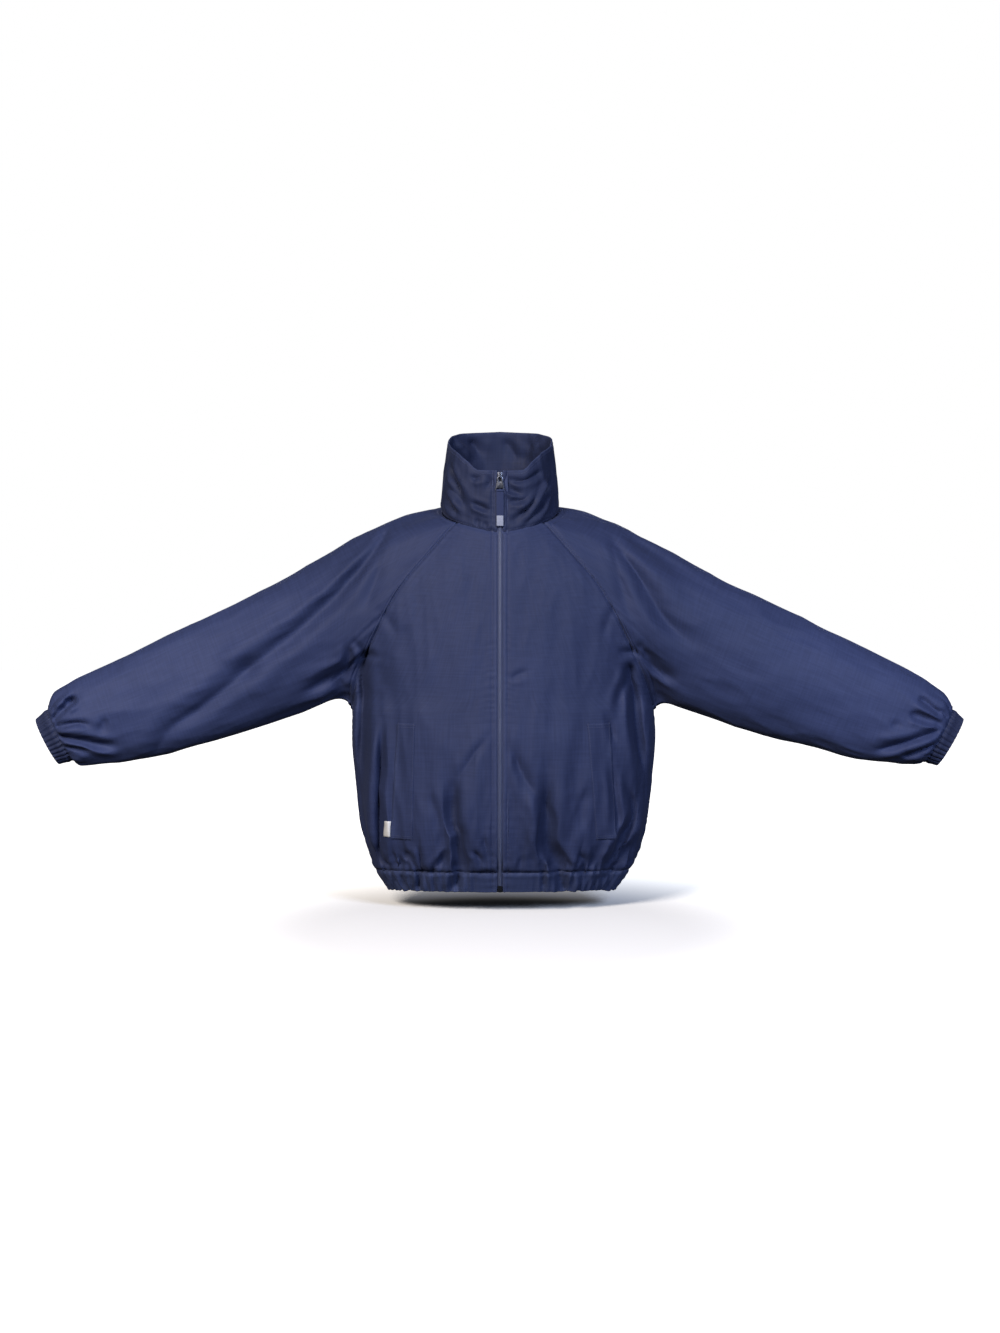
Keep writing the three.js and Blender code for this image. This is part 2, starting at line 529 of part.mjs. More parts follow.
function sleeves() {
  const cuffUs = ringSteps(3 * CUFF_GATHERS.count);
  for (const { side, name } of SIDES) {
    const rows = [
      ...stretch(0, 5, 12, ringSteps(AROUND)),
      ...stretch(5, CUFF_SEAM - 0.3, 3, ringSteps(4 * WRIST_GATHERS.count)),
      { at: CUFF_SEAM, us: cuffUs },
    ];
    const sleeve = { rows, outer: sleevePoint(side), ring: true, flip: side > 0, lead: sleeveLead(side) };
    add(`sleeve_${name}`, wall(sleeve), cloth);
    const cuff = {
      rows: [CUFF_SEAM, CUFF_END].map((at) => ({ at, us: cuffUs })),
      outer: cuffPoint(side, true),
      inner: cuffPoint(side, false),
      lead: cuffLead(side),
      gaps: { high: 0 },
    };
    add(`cuff_${name}`, wall({ ...cuff, ring: true, flip: side > 0 }), band);
  }
}

function collar() {
  const { front, back: behind } = NECK_RAGLAN;
  const edge = (Math.asin(ZIP_OPENING / NECK.halfWidth) * 180) / Math.PI;
  const half = [
    ...steps(edge, front, NECK_STEPS.front).slice(0, -1),
    ...steps(front, behind, NECK_STEPS.sleeve).slice(0, -1),
    ...steps(behind, 180, NECK_STEPS.back / 2),
  ];
  const turns = [...half, ...half.slice(0, -1).reverse().map((turn) => 360 - turn)];
  const rows = steps(0, 1, 5).map((at) => ({ at, us: turns }));
  const lead = (turn, height) => (height === 0 ? neckLead(turn) : null);
  add("collar", wall({ rows, outer: collarPoint, lead, gaps: { start: 0, end: 0, high: 0 } }), cloth);
}

// The zip's tapes follow the middle of the front, from the hem up to the collar.
const tapePoint = (side, raised) => (x, place) => {
  const point = new THREE.Vector3();
  if (place > NECK_ROW) {
    point.copy(collarPoint((side * Math.asin(x / NECK.halfWidth) * 180) / Math.PI, place - NECK_ROW));
  } else {
    const arc = radians(column(FRONT_ROWS, "arc", place));
    const reach = column(FRONT_ROWS, "sideX", place) / Math.sin(arc);
    const start = Math.asin(ZIP_OPENING / reach);
    point.copy(panelPoint(FRONT_ROWS, side, (Math.asin(x / reach) - start) / (arc - start), place));
  }
  point.y += TAPE.behind - (raised && x <= TAPE.coilTo ? TAPE.coilRise : 0);
  return point;
};
const TOWARDS_FRONT = new THREE.Vector3(0, -1, 0);

function zip() {
  const places = [
    ...steps(0, BAND_TOP, 2).slice(0, -1),
    ...bodyRows(1, 1, 1, 1).map((row) => row.at),
    ...steps(NECK_ROW, NECK_ROW + 1, 5).slice(1, -1),
    NECK_ROW + TAPE_TOP,
  ];
  const us = [TAPE.from, TAPE.coilTo, TAPE.flatFrom, TAPE.to];
  for (const { side, name } of SIDES) {
    const strip = { rows: places.map((at) => ({ at, us })), thick: TAPE.cloth, flip: side < 0 };
    const gaps = { start: 0, end: 0, low: 0, high: 0 };
    const skins = { outer: tapePoint(side, true), inner: tapePoint(side, false), lead: () => TOWARDS_FRONT };
    add(`zip_tape_${name}`, wall({ ...strip, ...skins, gaps }), tape);
  }
  const { halfWidth, rows, forward, depth } = BOX;
  const boxPoint = (x, place) => {
    const point = tapePoint(1, false)(Math.abs(x), place);
    return point.set(x, point.y - TAPE.behind - forward, point.z);
  };
  const boxRows = [0, rows].map((at) => ({ at, us: [-halfWidth, 0, halfWidth] }));
  const gaps = { start: 0, end: 0, low: 0, high: 0 };
  add("zip_box", wall({ rows: boxRows, outer: boxPoint, thick: depth, lead: () => TOWARDS_FRONT, gaps }), metal);
}

// The slider and its pull are drawn flat against the collar's front: x across, y out of the collar and
// z along it, from the slider's middle. This moves them there.
function onCollar(geometry) {
  const { frontY, frontZ } = NECK;
  const lean = Math.atan2(RIM.frontY - frontY, RIM_HEIGHTS[0].z - frontZ);
  const atSlider = frontY + (SLIDER.middleZ - frontZ) * Math.tan(lean);
  geometry.rotateX(-lean);
  return geometry.translate(0, atSlider, SLIDER.middleZ);
}

// A profile drawn as distance out of the collar and height, made this wide across.
function acrossX(profile, halfWidth) {
  const geometry = new THREE.ExtrudeGeometry(profile, { depth: 2 * halfWidth, bevelEnabled: false, curveSegments: 5 });
  const [across, out, up] = [[0, 0, -1], [-1, 0, 0], [0, 1, 0]];
  geometry.translate(0, 0, -halfWidth);
  return geometry.applyMatrix4(new THREE.Matrix4().set(...across, 0, ...out, 0, ...up, 0, 0, 0, 0, 1));
}
// A shape drawn as across and height, this thick from one distance out of the collar.
function againstCollar(shape, from, thick) {
  const geometry = new THREE.ExtrudeGeometry(shape, { depth: thick, bevelEnabled: false, curveSegments: 5 });
  const [across, out, up] = [[1, 0, 0], [0, 0, -1], [0, 1, 0]];
  geometry.translate(0, 0, from);
  return geometry.applyMatrix4(new THREE.Matrix4().set(...across, 0, ...out, 0, ...up, 0, 0, 0, 0, 1));
}
const outline = (points) => new THREE.Shape(points.map(([x, y]) => new THREE.Vector2(x, y)));

function slider() {
  const { halfHeight, halfWidth, ply, bridge, clear } = SLIDER;
  const back = clear + TAPE.cloth + TAPE.behind;
  const face = TAPE.coilRise - TAPE.behind + clear;
  const body = outline([
    [face, -halfHeight], [face + ply, -halfHeight], [face + ply, halfHeight], [-back - ply, halfHeight],
    [-back - ply, -halfHeight], [-back, -halfHeight], [-back, halfHeight - bridge], [face, halfHeight - bridge],
  ]);
  const [root, inside] = [face + ply / 2, face + ply + CROWN.inside];
  const [top, under] = [CROWN.halfHeight, CROWN.halfHeight - CROWN.bar];
  const crown = outline([
    [root, -top], [inside, -top], [inside + CROWN.bar, -under], [inside + CROWN.bar, under], [inside, top],
    [root, top], [root, under], [inside, under], [inside, -under], [root, -under],
  ]);
  add("zip_slider", onCollar(union(acrossX(body, halfWidth), acrossX(crown, CROWN.halfWidth))), metal);
  return (face + ply + inside) / 2;
}

function pull(middle) {
  const { top, length, topHalf, footHalf, ply, bar, eyeHalf, eyeLength } = LINK;
  const foot = top - length;
  const corner = 2;
  const link = outline([
    [-topHalf + corner, top], [-topHalf, top - corner], [-topHalf, top - eyeLength], [-footHalf, foot + corner],
    [-footHalf + corner, foot], [footHalf - corner, foot], [footHalf, foot + corner], [topHalf, top - eyeLength],
    [topHalf, top - corner], [topHalf - corner, top],
  ]);
  const eye = new THREE.Path();
  eye.moveTo(-eyeHalf, top - bar).lineTo(eyeHalf, top - bar).lineTo(eyeHalf, top - bar - eyeLength + eyeHalf);
  eye.absarc(0, top - bar - eyeLength + eyeHalf, eyeHalf, 0, Math.PI, true);
  const slot = outline([
    [-SLOT.halfWidth, foot + bar], [SLOT.halfWidth, foot + bar],
    [SLOT.halfWidth - 1, foot + bar + SLOT.height], [1 - SLOT.halfWidth, foot + bar + SLOT.height],
  ]);
  link.holes.push(eye, slot);
  add("pull_link", onCollar(againstCollar(link, middle - ply / 2, ply)), metal);

  const barMiddle = foot + bar / 2;
  const loop = RIBBON.eye + RIBBON.ply;
  const neck = Math.asin(RIBBON.ply / loop);
  const ribbon = new THREE.Shape();
  ribbon.moveTo(middle - RIBBON.ply, RIBBON.foot).lineTo(middle + RIBBON.ply, RIBBON.foot);
  ribbon.absarc(middle, barMiddle, loop, neck - Math.PI / 2, 1.5 * Math.PI - neck, false);
  ribbon.holes.push(new THREE.Path().absarc(middle, barMiddle, RIBBON.eye, 0, 2 * Math.PI, true));
  add("pull_ribbon", onCollar(acrossX(ribbon, RIBBON.halfWidth)), cloth);

  const { halfWidth, length: patchLength } = PATCH;
  const patch = outline([
    [-halfWidth, RIBBON.foot + 1], [halfWidth, RIBBON.foot + 1],
    [halfWidth, RIBBON.foot + patchLength], [-halfWidth, RIBBON.foot + patchLength],
  ]);
  add("pull_patch", onCollar(againstCollar(patch, middle + RIBBON.ply + LAID_ON, PATCH.ply)), silver);
}

// Where a panel's outer skin is at a place seen from the front. The skin's points have even numbers.
function skinY(panel, x, z) {
  const { position } = panel.geometry.attributes;
  const index = panel.geometry.index.array;
  const [a, b, c] = [new THREE.Vector3(), new THREE.Vector3(), new THREE.Vector3()];
  const at = new THREE.Vector3();
  let nearest = Infinity;
  for (let k = 0; k < index.length; k += 3) {
    if (index[k] % 2 || index[k + 1] % 2 || index[k + 2] % 2) continue;
    [a, b, c].forEach((corner, n) => corner.fromBufferAttribute(position, index[k + n]));
    const area = (b.x - a.x) * (c.z - a.z) - (c.x - a.x) * (b.z - a.z);
    at.y = ((b.z - c.z) * (x - c.x) + (c.x - b.x) * (z - c.z)) / area;
    at.z = ((c.z - a.z) * (x - c.x) + (a.x - c.x) * (z - c.z)) / area;
    at.x = 1 - at.y - at.z;
    if (Math.min(at.x, at.y, at.z) < -1e-6) continue;
    nearest = Math.min(nearest, at.y * a.y + at.z * b.y + at.x * c.y);
  }
  return nearest;
}

// The way the body's cloth faces at a place on it.
const bodyFacing = ({ x, y }) =>
  new THREE.Vector3(x / BODY.halfWidth ** 2, y / BODY.halfDepth ** 2, 0).normalize();

// A patch that lies on a front panel, over the small ridges round each of its points.
function patchOn(panel, shape, { cloth: thick, columns, rows }, above) {
  const { side, topZ, footZ, inTop, inFoot, outTop, outFoot } = shape;
  const onSkin = (x, z) => new THREE.Vector3(x, skinY(panel, x, z), z);
  const [reachX, reachZ] = [(outTop - inTop) / columns / 2, (topZ - footZ) / rows / 2];
  const around = [-1, 0, 1].flatMap((i) => [-1, 0, 1].map((j) => [i * reachX, j * reachZ]));
  const foot = (u, at) =>
    onSkin(side * lerp(lerp(inFoot, inTop, at), lerp(outFoot, outTop, at), u), lerp(footZ, topZ, at));
  const outer = (u, at) => {
    const point = foot(u, at);
    const facing = bodyFacing(point);
    const ridges = around.map(([dx, dz]) => onSkin(point.x + dx, point.z + dz).sub(point).dot(facing));
    return point.addScaledVector(facing, Math.max(...ridges) + above + thick);
  };
  const grid = steps(0, 1, rows).map((at) => ({ at, us: steps(0, 1, columns) }));
  const gaps = { start: 0, end: 0, low: 0, high: 0 };
  const lead = (u, at) => bodyFacing(foot(u, at));
  return wall({ rows: grid, outer, thick, flip: side < 0, lead, gaps });
}

function pockets() {
  for (const shape of WELTS) {
    const panel = jacket.getObjectByName(shape.side > 0 ? "front_left" : "front_right");
    add(shape.name, patchOn(panel, shape, WELT, LAID_ON), cloth);
  }
  const panel = jacket.getObjectByName("front_right");
  add("label", patchOn(panel, LABEL, LABEL_PATCH, LAID_ON), white);
}

fronts();
back();
sleeves();
collar();
zip();
pull(slider());
pockets();

export default jacket;
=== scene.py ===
import math
from collections import namedtuple

import bmesh
import bpy
import numpy as np
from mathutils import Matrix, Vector
from mathutils.bvhtree import BVHTree


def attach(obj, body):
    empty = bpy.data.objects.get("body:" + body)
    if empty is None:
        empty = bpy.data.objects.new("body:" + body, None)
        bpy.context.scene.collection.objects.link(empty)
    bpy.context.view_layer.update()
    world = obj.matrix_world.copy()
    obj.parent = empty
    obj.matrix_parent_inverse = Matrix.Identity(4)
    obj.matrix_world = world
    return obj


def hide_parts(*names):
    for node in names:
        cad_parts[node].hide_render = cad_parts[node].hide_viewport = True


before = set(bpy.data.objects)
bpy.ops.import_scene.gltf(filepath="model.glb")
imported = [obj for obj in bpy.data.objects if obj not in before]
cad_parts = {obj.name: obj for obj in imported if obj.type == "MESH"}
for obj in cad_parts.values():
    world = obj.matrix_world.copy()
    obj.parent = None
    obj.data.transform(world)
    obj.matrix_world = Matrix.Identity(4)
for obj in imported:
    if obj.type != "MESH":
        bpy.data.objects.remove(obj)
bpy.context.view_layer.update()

MM = 0.001

# Sizes of the cloth and its seams
SHELL = 1.2  # nylon shell with its mesh lining
COLLAR_SHELL = 2.2  # the collar is two layers of it
BAND_SHELL = 1.8  # and so are the bands over their elastic
ZIP_OPENING = 5.2  # from the centre line to each front edge
LOPSIDED = 0.025  # the body hangs a little towards the wearer's left
SEAM = {"deep": 2.3, "wide": 2.7, "lap": 0.9}  # the valley along a seam, and how far the edges lap in it
PITCH = 3.1  # between the points of the cloth
CLOSE = (0.8, 1.7, 2.8)  # extra points this far from a seam
CLOSER = (0.8, 1.6, 2.5, 3.6, 5.0, 6.4, 7.6, 8.8, 10.0, 11.4)  # and where it is stitched twice

# The neck seam, an oval that drops towards the front
NECK = {"half_width": 93, "front_y": -88, "back_y": 70, "front_z": -34, "back_z": 16, "rise": 0.65}
NECK_RAGLAN = {"front": 48.8, "back": 142}  # where the raglan seams meet it, degrees from the front

# Rows of the front and back panels from the hem up: the middle line, the side seam (above the underarm
# the raglan seam), and how far round the row turns.
Row = namedtuple("Row", "centre_z centre_y side_x side_y side_z arc")
FRONT_ROWS = [
    Row(-601, -97, 181, 0, -609, 90),
    Row(-569, -110, 203, 0, -577, 90),
    Row(-536, -124, 218, 0, -543, 90),
    Row(-495, -133, 231, 0, -499, 90),
    Row(-430, -137, 238, 0, -430, 90),
    Row(-370, -137, 243, 0, -370, 90),
    Row(-322, -134, 241, 0, -322, 90),
    Row(-288, -131, 235, -20, -288, 72),
    Row(-245, -127, 220, -50, -246, 60),
    Row(-200, -122, 200, -70, -200, 51),
    Row(-157, -115, 178, -81, -155, 43),
    Row(-117, -108, 152, -83, -112, 38),
    Row(-83, -100, 122, -77, -76, 38),
    Row(-56, -93, 94, -69, -46, 43),
    Row(-34, -88, 70, -61, -22, 48.8),
]
BACK_ROWS = [
    Row(-603, 97, 181, 0, -609, 90),
    Row(-571, 108, 203, 0, -577, 90),
    Row(-538, 121, 218, 0, -543, 90),
    Row(-496, 129, 231, 0, -499, 90),
    Row(-430, 131, 238, 0, -430, 90),
    Row(-370, 130, 243, 0, -370, 90),
    Row(-322, 128, 241, 0, -322, 90),
    Row(-285, 127, 235, 24, -286, 74),
    Row(-235, 125, 219, 57, -238, 60),
    Row(-185, 121, 197, 77, -188, 51),
    Row(-135, 115, 170, 87, -137, 45),
    Row(-88, 107, 138, 88, -88, 41),
    Row(-42, 96, 102, 79, -42, 40),
    Row(-8, 83, 75, 66, -9, 39),
    Row(16, 70, 57, 53, 10, 38),
]
BAND_TOP = 1  # row where the hem band is sewn to the body
UNDERARM = 6  # row where the raglan seams start
NECK_ROW = len(FRONT_ROWS) - 1

# Rings of each sleeve from below the shoulder to the cuff's end
Ring = namedtuple("Ring", "out z slope half_height half_depth")
RIGHT_SLEEVE = [
    Ring(326, -216, 23, 103, 64),
    Ring(423, -257, 22, 97, 60),
    Ring(511, -291, 20, 92, 56),
    Ring(590, -320, 18, 83, 53),
    Ring(661, -340, 18.5, 70, 49),
    Ring(691, -351, 21, 60, 43),
    Ring(705, -360, 26, 46, 33),
    Ring(725, -371, 27, 39.5, 28),
]
LEFT_SLEEVE = [
    Ring(328, -216.5, 23, 106, 64),
    Ring(424, -256, 22, 101, 60),
    Ring(511, -289, 20.5, 94, 56),
    Ring(590, -318, 19, 85, 53),
    Ring(660, -340, 20, 71, 49),
    Ring(689, -352, 24, 61, 43),
    Ring(703, -361, 28, 48, 33),
    Ring(721, -372, 29.5, 42, 28),
]
CUFF_SEAM = len(RIGHT_SLEEVE) - 1  # place along the sleeve, where 0 is the armhole
CUFF_END = len(RIGHT_SLEEVE)
SEAM_SHARE = 10 / 28  # share of a sleeve ring that starts on one raglan seam
SHOULDER_LIFT = 0.4
UNDERARM_LIFT = {"out": -0.3, "up": 1.5}

# The collar's rim: its height at each turn from the front
RIM = {"half_width": 85, "front_y": -84, "back_y": 72, "bulge": 1.5}
RIM_TURNS = [0, 24, 35, 52, 75, 90, 110, 135, 180]
RIM_HEIGHTS = [62, 63, 75, 91, 101, 106, 115, 121, 124]

# Ribs and gathers that the elastic makes
HEM_RIBS = {"count": 40, "flat_turn": 24, "band": 3.0, "body": 4.2, "reach": 2.2}
CUFF_RIBS = {"count": 32, "depth": 2.2}
WRIST_RIBS = {"count": 14, "depth": 4.0, "from": 4.6, "to": 6.6}

# Creases seen from the front or the back: the line each follows in X and Z, half its width at both ends,
# its depth (below nothing for a ridge), how high the cloth stands up beside it, and how much of the depth
# is left at its two ends.
Crease = namedtuple("Crease", "path wide deep ridge start end", defaults=(0.3, 0.1, 0.1))
FRONT_CREASES = [
    # body, wearer's right
    Crease([(-213, -232), (-219, -262), (-217, -295), (-220, -370), (-225, -455)], (7, 9), 23, 0.2, 0.8, 0.15),
    Crease([(-184, -330), (-190, -420), (-191, -482), (-190, -551), (-181, -562), (-166, -590)], (5, 5.5), 17, 0.5),
    Crease([(-146, -176), (-152, -200), (-160, -236)], (9, 8), 2.4),
    Crease([(-108, -214), (-122, -285)], (9, 9), -2.2),
    Crease([(-188, -236), (-182, -290)], (8, 7), 3),
    Crease([(-72, -415), (-72, -483), (-63, -506), (-63, -530), (-60, -550), (-62, -566), (-70, -590)], (9, 7.5), 18, 0.4, 0.1, 0.7),
    Crease([(-20, -352), (-46, -388), (-70, -430)], (5, 7), 4, 0.2, 0.3, 0.5),
    Crease([(-112, -440), (-98, -478), (-92, -520)], (9, 10), 5, 0.3),
    Crease([(-78, -528), (-91, -550), (-110, -568)], (5, 5), 7, 0.5, 0.2, 0.6),
    Crease([(-127, -522), (-123, -555), (-123, -572), (-129, -594)], (5, 5), 8.5, 0.5, 0.1, 0.8),
    Crease([(-154, -540), (-139, -550), (-132, -572)], (5, 5), 7, 0.4, 0.1, 0.6),
    Crease([(-28, -505), (-20, -536), (-20, -563)], (5, 4), 5.5, 0.4, 0.1, 0.4),
    Crease([(-46, -528), (-30, -547), (-30, -566)], (4, 4), 5, 0.4, 0.1, 0.4),
    # body, wearer's left
    Crease([(205, -255), (214, -300), (218, -345), (226, -400), (233, -440)], (7, 9), 22, 0.2, 0.8, 0.1),
    Crease([(198, -425), (211, -481), (196, -520), (176, -552)], (6, 6), 13.5, 0.4, 0.1, 0.5),
    Crease([(171, -325), (182, -368)], (5, 5), 6.5, 0.3, 0.4, 0.1),
    Crease([(176, -396), (184, -475), (191, -518)], (5, 6), 8.5, 0.4),
    Crease([(73, -405), (74, -483), (74, -514), (78, -530), (89, -550), (94, -572), (98, -594)], (11, 8), 21, 0.4, 0.1, 0.8),
    Crease([(14, -366), (38, -416), (66, -462)], (8, 10), 9, 0.3, 0.5, 0.5),
    Crease([(12, -264), (30, -255), (46, -250)], (4, 6), 3, 0.3, 0.6, 0.1),
    Crease([(136, -430), (128, -474), (132, -512)], (9, 10), 5, 0.3),
    Crease([(34, -522), (32, -553), (29, -567)], (5, 4), 5.5, 0.4, 0.1, 0.4),
    Crease([(69, -540), (67, -567), (69, -588)], (4.5, 4.5), 5.5, 0.4, 0.1, 0.6),
    Crease([(124, -534), (132, -554), (129, -580)], (6, 5), 8.5, 0.4, 0.1, 0.6),
    Crease([(101, -550), (113, -564)], (4, 4), 4.5),
    Crease([(191, -515), (183, -539), (171, -562)], (7, 6), 14, 0.4, 0.1, 0.6),
    Crease([(211, -524), (192, -553), (168, -580)], (8, 7), 13.5, 0.3, 0.1, 0.6),
    Crease([(-226, -212), (-210, -226), (-188, -232)], (5, 6), 6, 0.4, 0.6, 0.1),
    Crease([(-196, -150), (-176, -172), (-158, -204)], (6, 8), 3, 0.3),
    Crease([(222, -214), (204, -224), (182, -222)], (5, 6), 6, 0.4, 0.6, 0.1),
    Crease([(206, -256), (192, -288), (186, -322)], (6, 7), 7, 0.4, 0.4, 0.1),
    Crease([(188, -142), (172, -168), (160, -206)], (6, 8), 3, 0.3),
    # wearer's right sleeve
    Crease([(-184, -42), (-201, -68), (-229, -102), (-257, -132), (-317, -188), (-400, -252)], (6.5, 14), 13, 0.4, 0.7, 0.8),
    Crease([(-400, -252), (-475, -314), (-505, -333), (-528, -351), (-545, -376)], (15, 12), 12, 0.35, 0.8, 0.4),
    Crease([(-186, -72), (-201, -124), (-219, -172)], (9, 10), 4.5, 0.3, 0.3, 0.1),
    Crease([(-238, -226), (-243, -248), (-269, -266), (-319, -296)], (7, 9), 12, 0.4, 0.6, 0.1),
    Crease([(-246, -272), (-268, -284)], (10, 9), 5),
    # wearer's left sleeve
    Crease([(203, -38), (250, -70), (322, -114)], (9, 14), 10, 0.35, 0.4, 0.1),
    Crease([(184, -55), (222, -110), (268, -180), (330, -232)], (8, 14), 11, 0.35, 0.5, 0.1),
    Crease([(174, -58), (190, -110), (205, -176)], (8, 9), 4.5, 0.3, 0.3, 0.1),
    Crease([(233, -228), (250, -252), (286, -276)], (7, 10), 12, 0.4, 0.6, 0.1),
    # gathers at the wrists
    Crease([(-672, -292), (-696, -318), (-709, -331)], (5, 4.5), 12, 0.5, 0.1, 0.8),
    Crease([(-690, -303), (-668, -307)], (4, 5), 5, 0.4, 0.7, 0.1),
    Crease([(-700, -344), (-672, -338), (-646, -340)], (4, 5), 8, 0.5, 0.8, 0.1),
    Crease([(-700, -359), (-664, -366), (-637, -373), (-598, -379)], (4.5, 7), 12.5, 0.5, 0.9, 0.1),
    Crease([(-692, -376), (-667, -381), (-648, -388)], (4, 5), 7, 0.4, 0.8, 0.1),
    Crease([(-627, -328), (-630, -343), (-639, -356)], (6, 6), 4),
    Crease([(-708, -310), (-715, -322)], (3.5, 3.5), 4),
    Crease([(590, -384), (640, -370), (692, -352)], (7.5, 4.5), 13, 0.5, 0.1, 0.9),
    Crease([(648, -322), (694, -338)], (6, 4.5), 9, 0.5, 0.1, 0.9),
    Crease([(664, -296), (698, -322)], (5.5, 4.5), 10, 0.4, 0.1, 0.9),
    Crease([(634, -394), (686, -374)], (6, 4.5), 9.5, 0.4, 0.1, 0.8),
    Crease([(618, -344), (640, -338)], (7, 6), 4),
]
# Narrow pinches in the hem band: where each lies in X, how deep it is and how far it runs up the body
Pinch = namedtuple("Pinch", "x deep top")
HEM_PINCHES = [
    Pinch(-183, 3.0, -548), Pinch(-170, 2.4, -556), Pinch(-157, 2.8, -540), Pinch(-143, 2.2, -560),
    Pinch(-130, 3.2, -552), Pinch(-117, 2.0, -562), Pinch(-106, 2.8, -556), Pinch(-92, 2.4, -548),
    Pinch(-79, 2.8, -562), Pinch(-68, 3.4, -550), Pinch(-52, 2.6, -560), Pinch(-42, 2.2, -554),
    Pinch(57, 1.6, -562), Pinch(69, 3.2, -552), Pinch(82, 2.0, -562), Pinch(94, 3.2, -548),
    Pinch(105, 2.4, -558), Pinch(117, 2.8, -562), Pinch(128, 2.6, -550), Pinch(141, 2.0, -560),
    Pinch(153, 3.0, -552), Pinch(164, 2.4, -560), Pinch(177, 2.8, -546),
]
FRONT_CREASES += [
    Crease([(x * 1.03, top), (x, -572), (x * 0.985, -588), (x * 0.97, -606)], (3.0, 2.6), deep * 1.1, 0.5, 0.1, 0.9)
    for x, deep, top in HEM_PINCHES
]
BACK_CREASES = [
    Crease([(-209, -255), (-218, -320), (-220, -380), (-226, -465)], (8, 10), 18.5, 0.2, 0.7, 0.15),
    Crease([(210, -258), (216, -330), (219, -380), (224, -445)], (8, 10), 18.5, 0.2, 0.7, 0.15),
    Crease([(-66, -420), (-78, -500), (-88, -560), (-93, -592)], (9, 8), 12, 0.4, 0.1, 0.7),
    Crease([(60, -438), (70, -510), (80, -560), (85, -592)], (9, 8), 12, 0.4, 0.1, 0.7),
    Crease([(-12, -500), (-18, -548), (-14, -590)], (6, 5), 7, 0.4, 0.1, 0.7),
    Crease([(28, -528), (24, -560), (27, -592)], (5, 5), 5.5, 0.4, 0.1, 0.7),
    Crease([(-46, -536), (-50, -564), (-47, -592)], (5, 4.5), 5, 0.4, 0.1, 0.7),
    Crease([(-131, -470), (-128, -535), (-120, -588)], (7, 6), 9, 0.4, 0.1, 0.7),
    Crease([(118, -484), (128, -540), (126, -590)], (7, 6), 9, 0.4, 0.1, 0.7),
    Crease([(-176, -430), (-182, -500), (-170, -570)], (7, 6), 10.5, 0.4, 0.1, 0.5),
    Crease([(170, -445), (178, -510), (166, -574)], (7, 6), 10.5, 0.4, 0.1, 0.5),
    Crease([(103, -546), (107, -590)], (4.5, 4.5), 4.5, 0.4, 0.1, 0.7),
    Crease([(-106, -556), (-103, -592)], (4.5, 4.5), 4.5, 0.4, 0.1, 0.7),
    Crease([(-150, -548), (-148, -584)], (4.5, 4.5), 4.5, 0.4, 0.1, 0.7),
    Crease([(-44, -44), (-8, -58), (20, -56)], (9, 11), 2.5),
    Crease([(-124, -118), (-92, -156), (-38, -186)], (13, 16), 3.5, 0.3),
    Crease([(108, -112), (74, -158), (30, -204)], (15, 13), 3, 0.3),
    Crease([(-168, -190), (-140, -262), (-118, -300)], (12, 12), 6, 0.3),
    Crease([(166, -186), (146, -250), (120, -296)], (12, 12), 6, 0.3),
    Crease([(-188, -48), (-240, -96), (-345, -205)], (9, 15), 12, 0.3, 0.5, 0.2),
    Crease([(190, -50), (250, -100), (348, -184)], (9, 15), 12, 0.3, 0.5, 0.2),
    Crease([(-240, -236), (-262, -262), (-325, -290)], (8, 11), 13.5, 0.4, 0.6, 0.1),
    Crease([(240, -236), (262, -262), (320, -294)], (8, 11), 13.5, 0.4, 0.6, 0.1),
    Crease([(-400, -262), (-500, -330), (-548, -372)], (15, 12), 9, 0.3),
    Crease([(400, -258), (500, -326), (560, -370)], (15, 12), 9, 0.3),
    Crease([(-600, -380), (-650, -366), (-698, -354)], (8, 4.5), 7.5, 0.5, 0.1, 0.9),
    Crease([(-640, -322), (-696, -336)], (7, 4.5), 6, 0.4, 0.1, 0.9),
    Crease([(600, -376), (645, -362), (696, -350)], (8, 4.5), 7.5, 0.5, 0.1, 0.9),
    Crease([(650, -318), (696, -334)], (7, 4.5), 6, 0.4, 0.1, 0.9),
]
FACE_FADE = 34  # creases fade in over this much depth from the side silhouette
ZIP_CALM = 30  # and over this distance from the zip, which stays straight

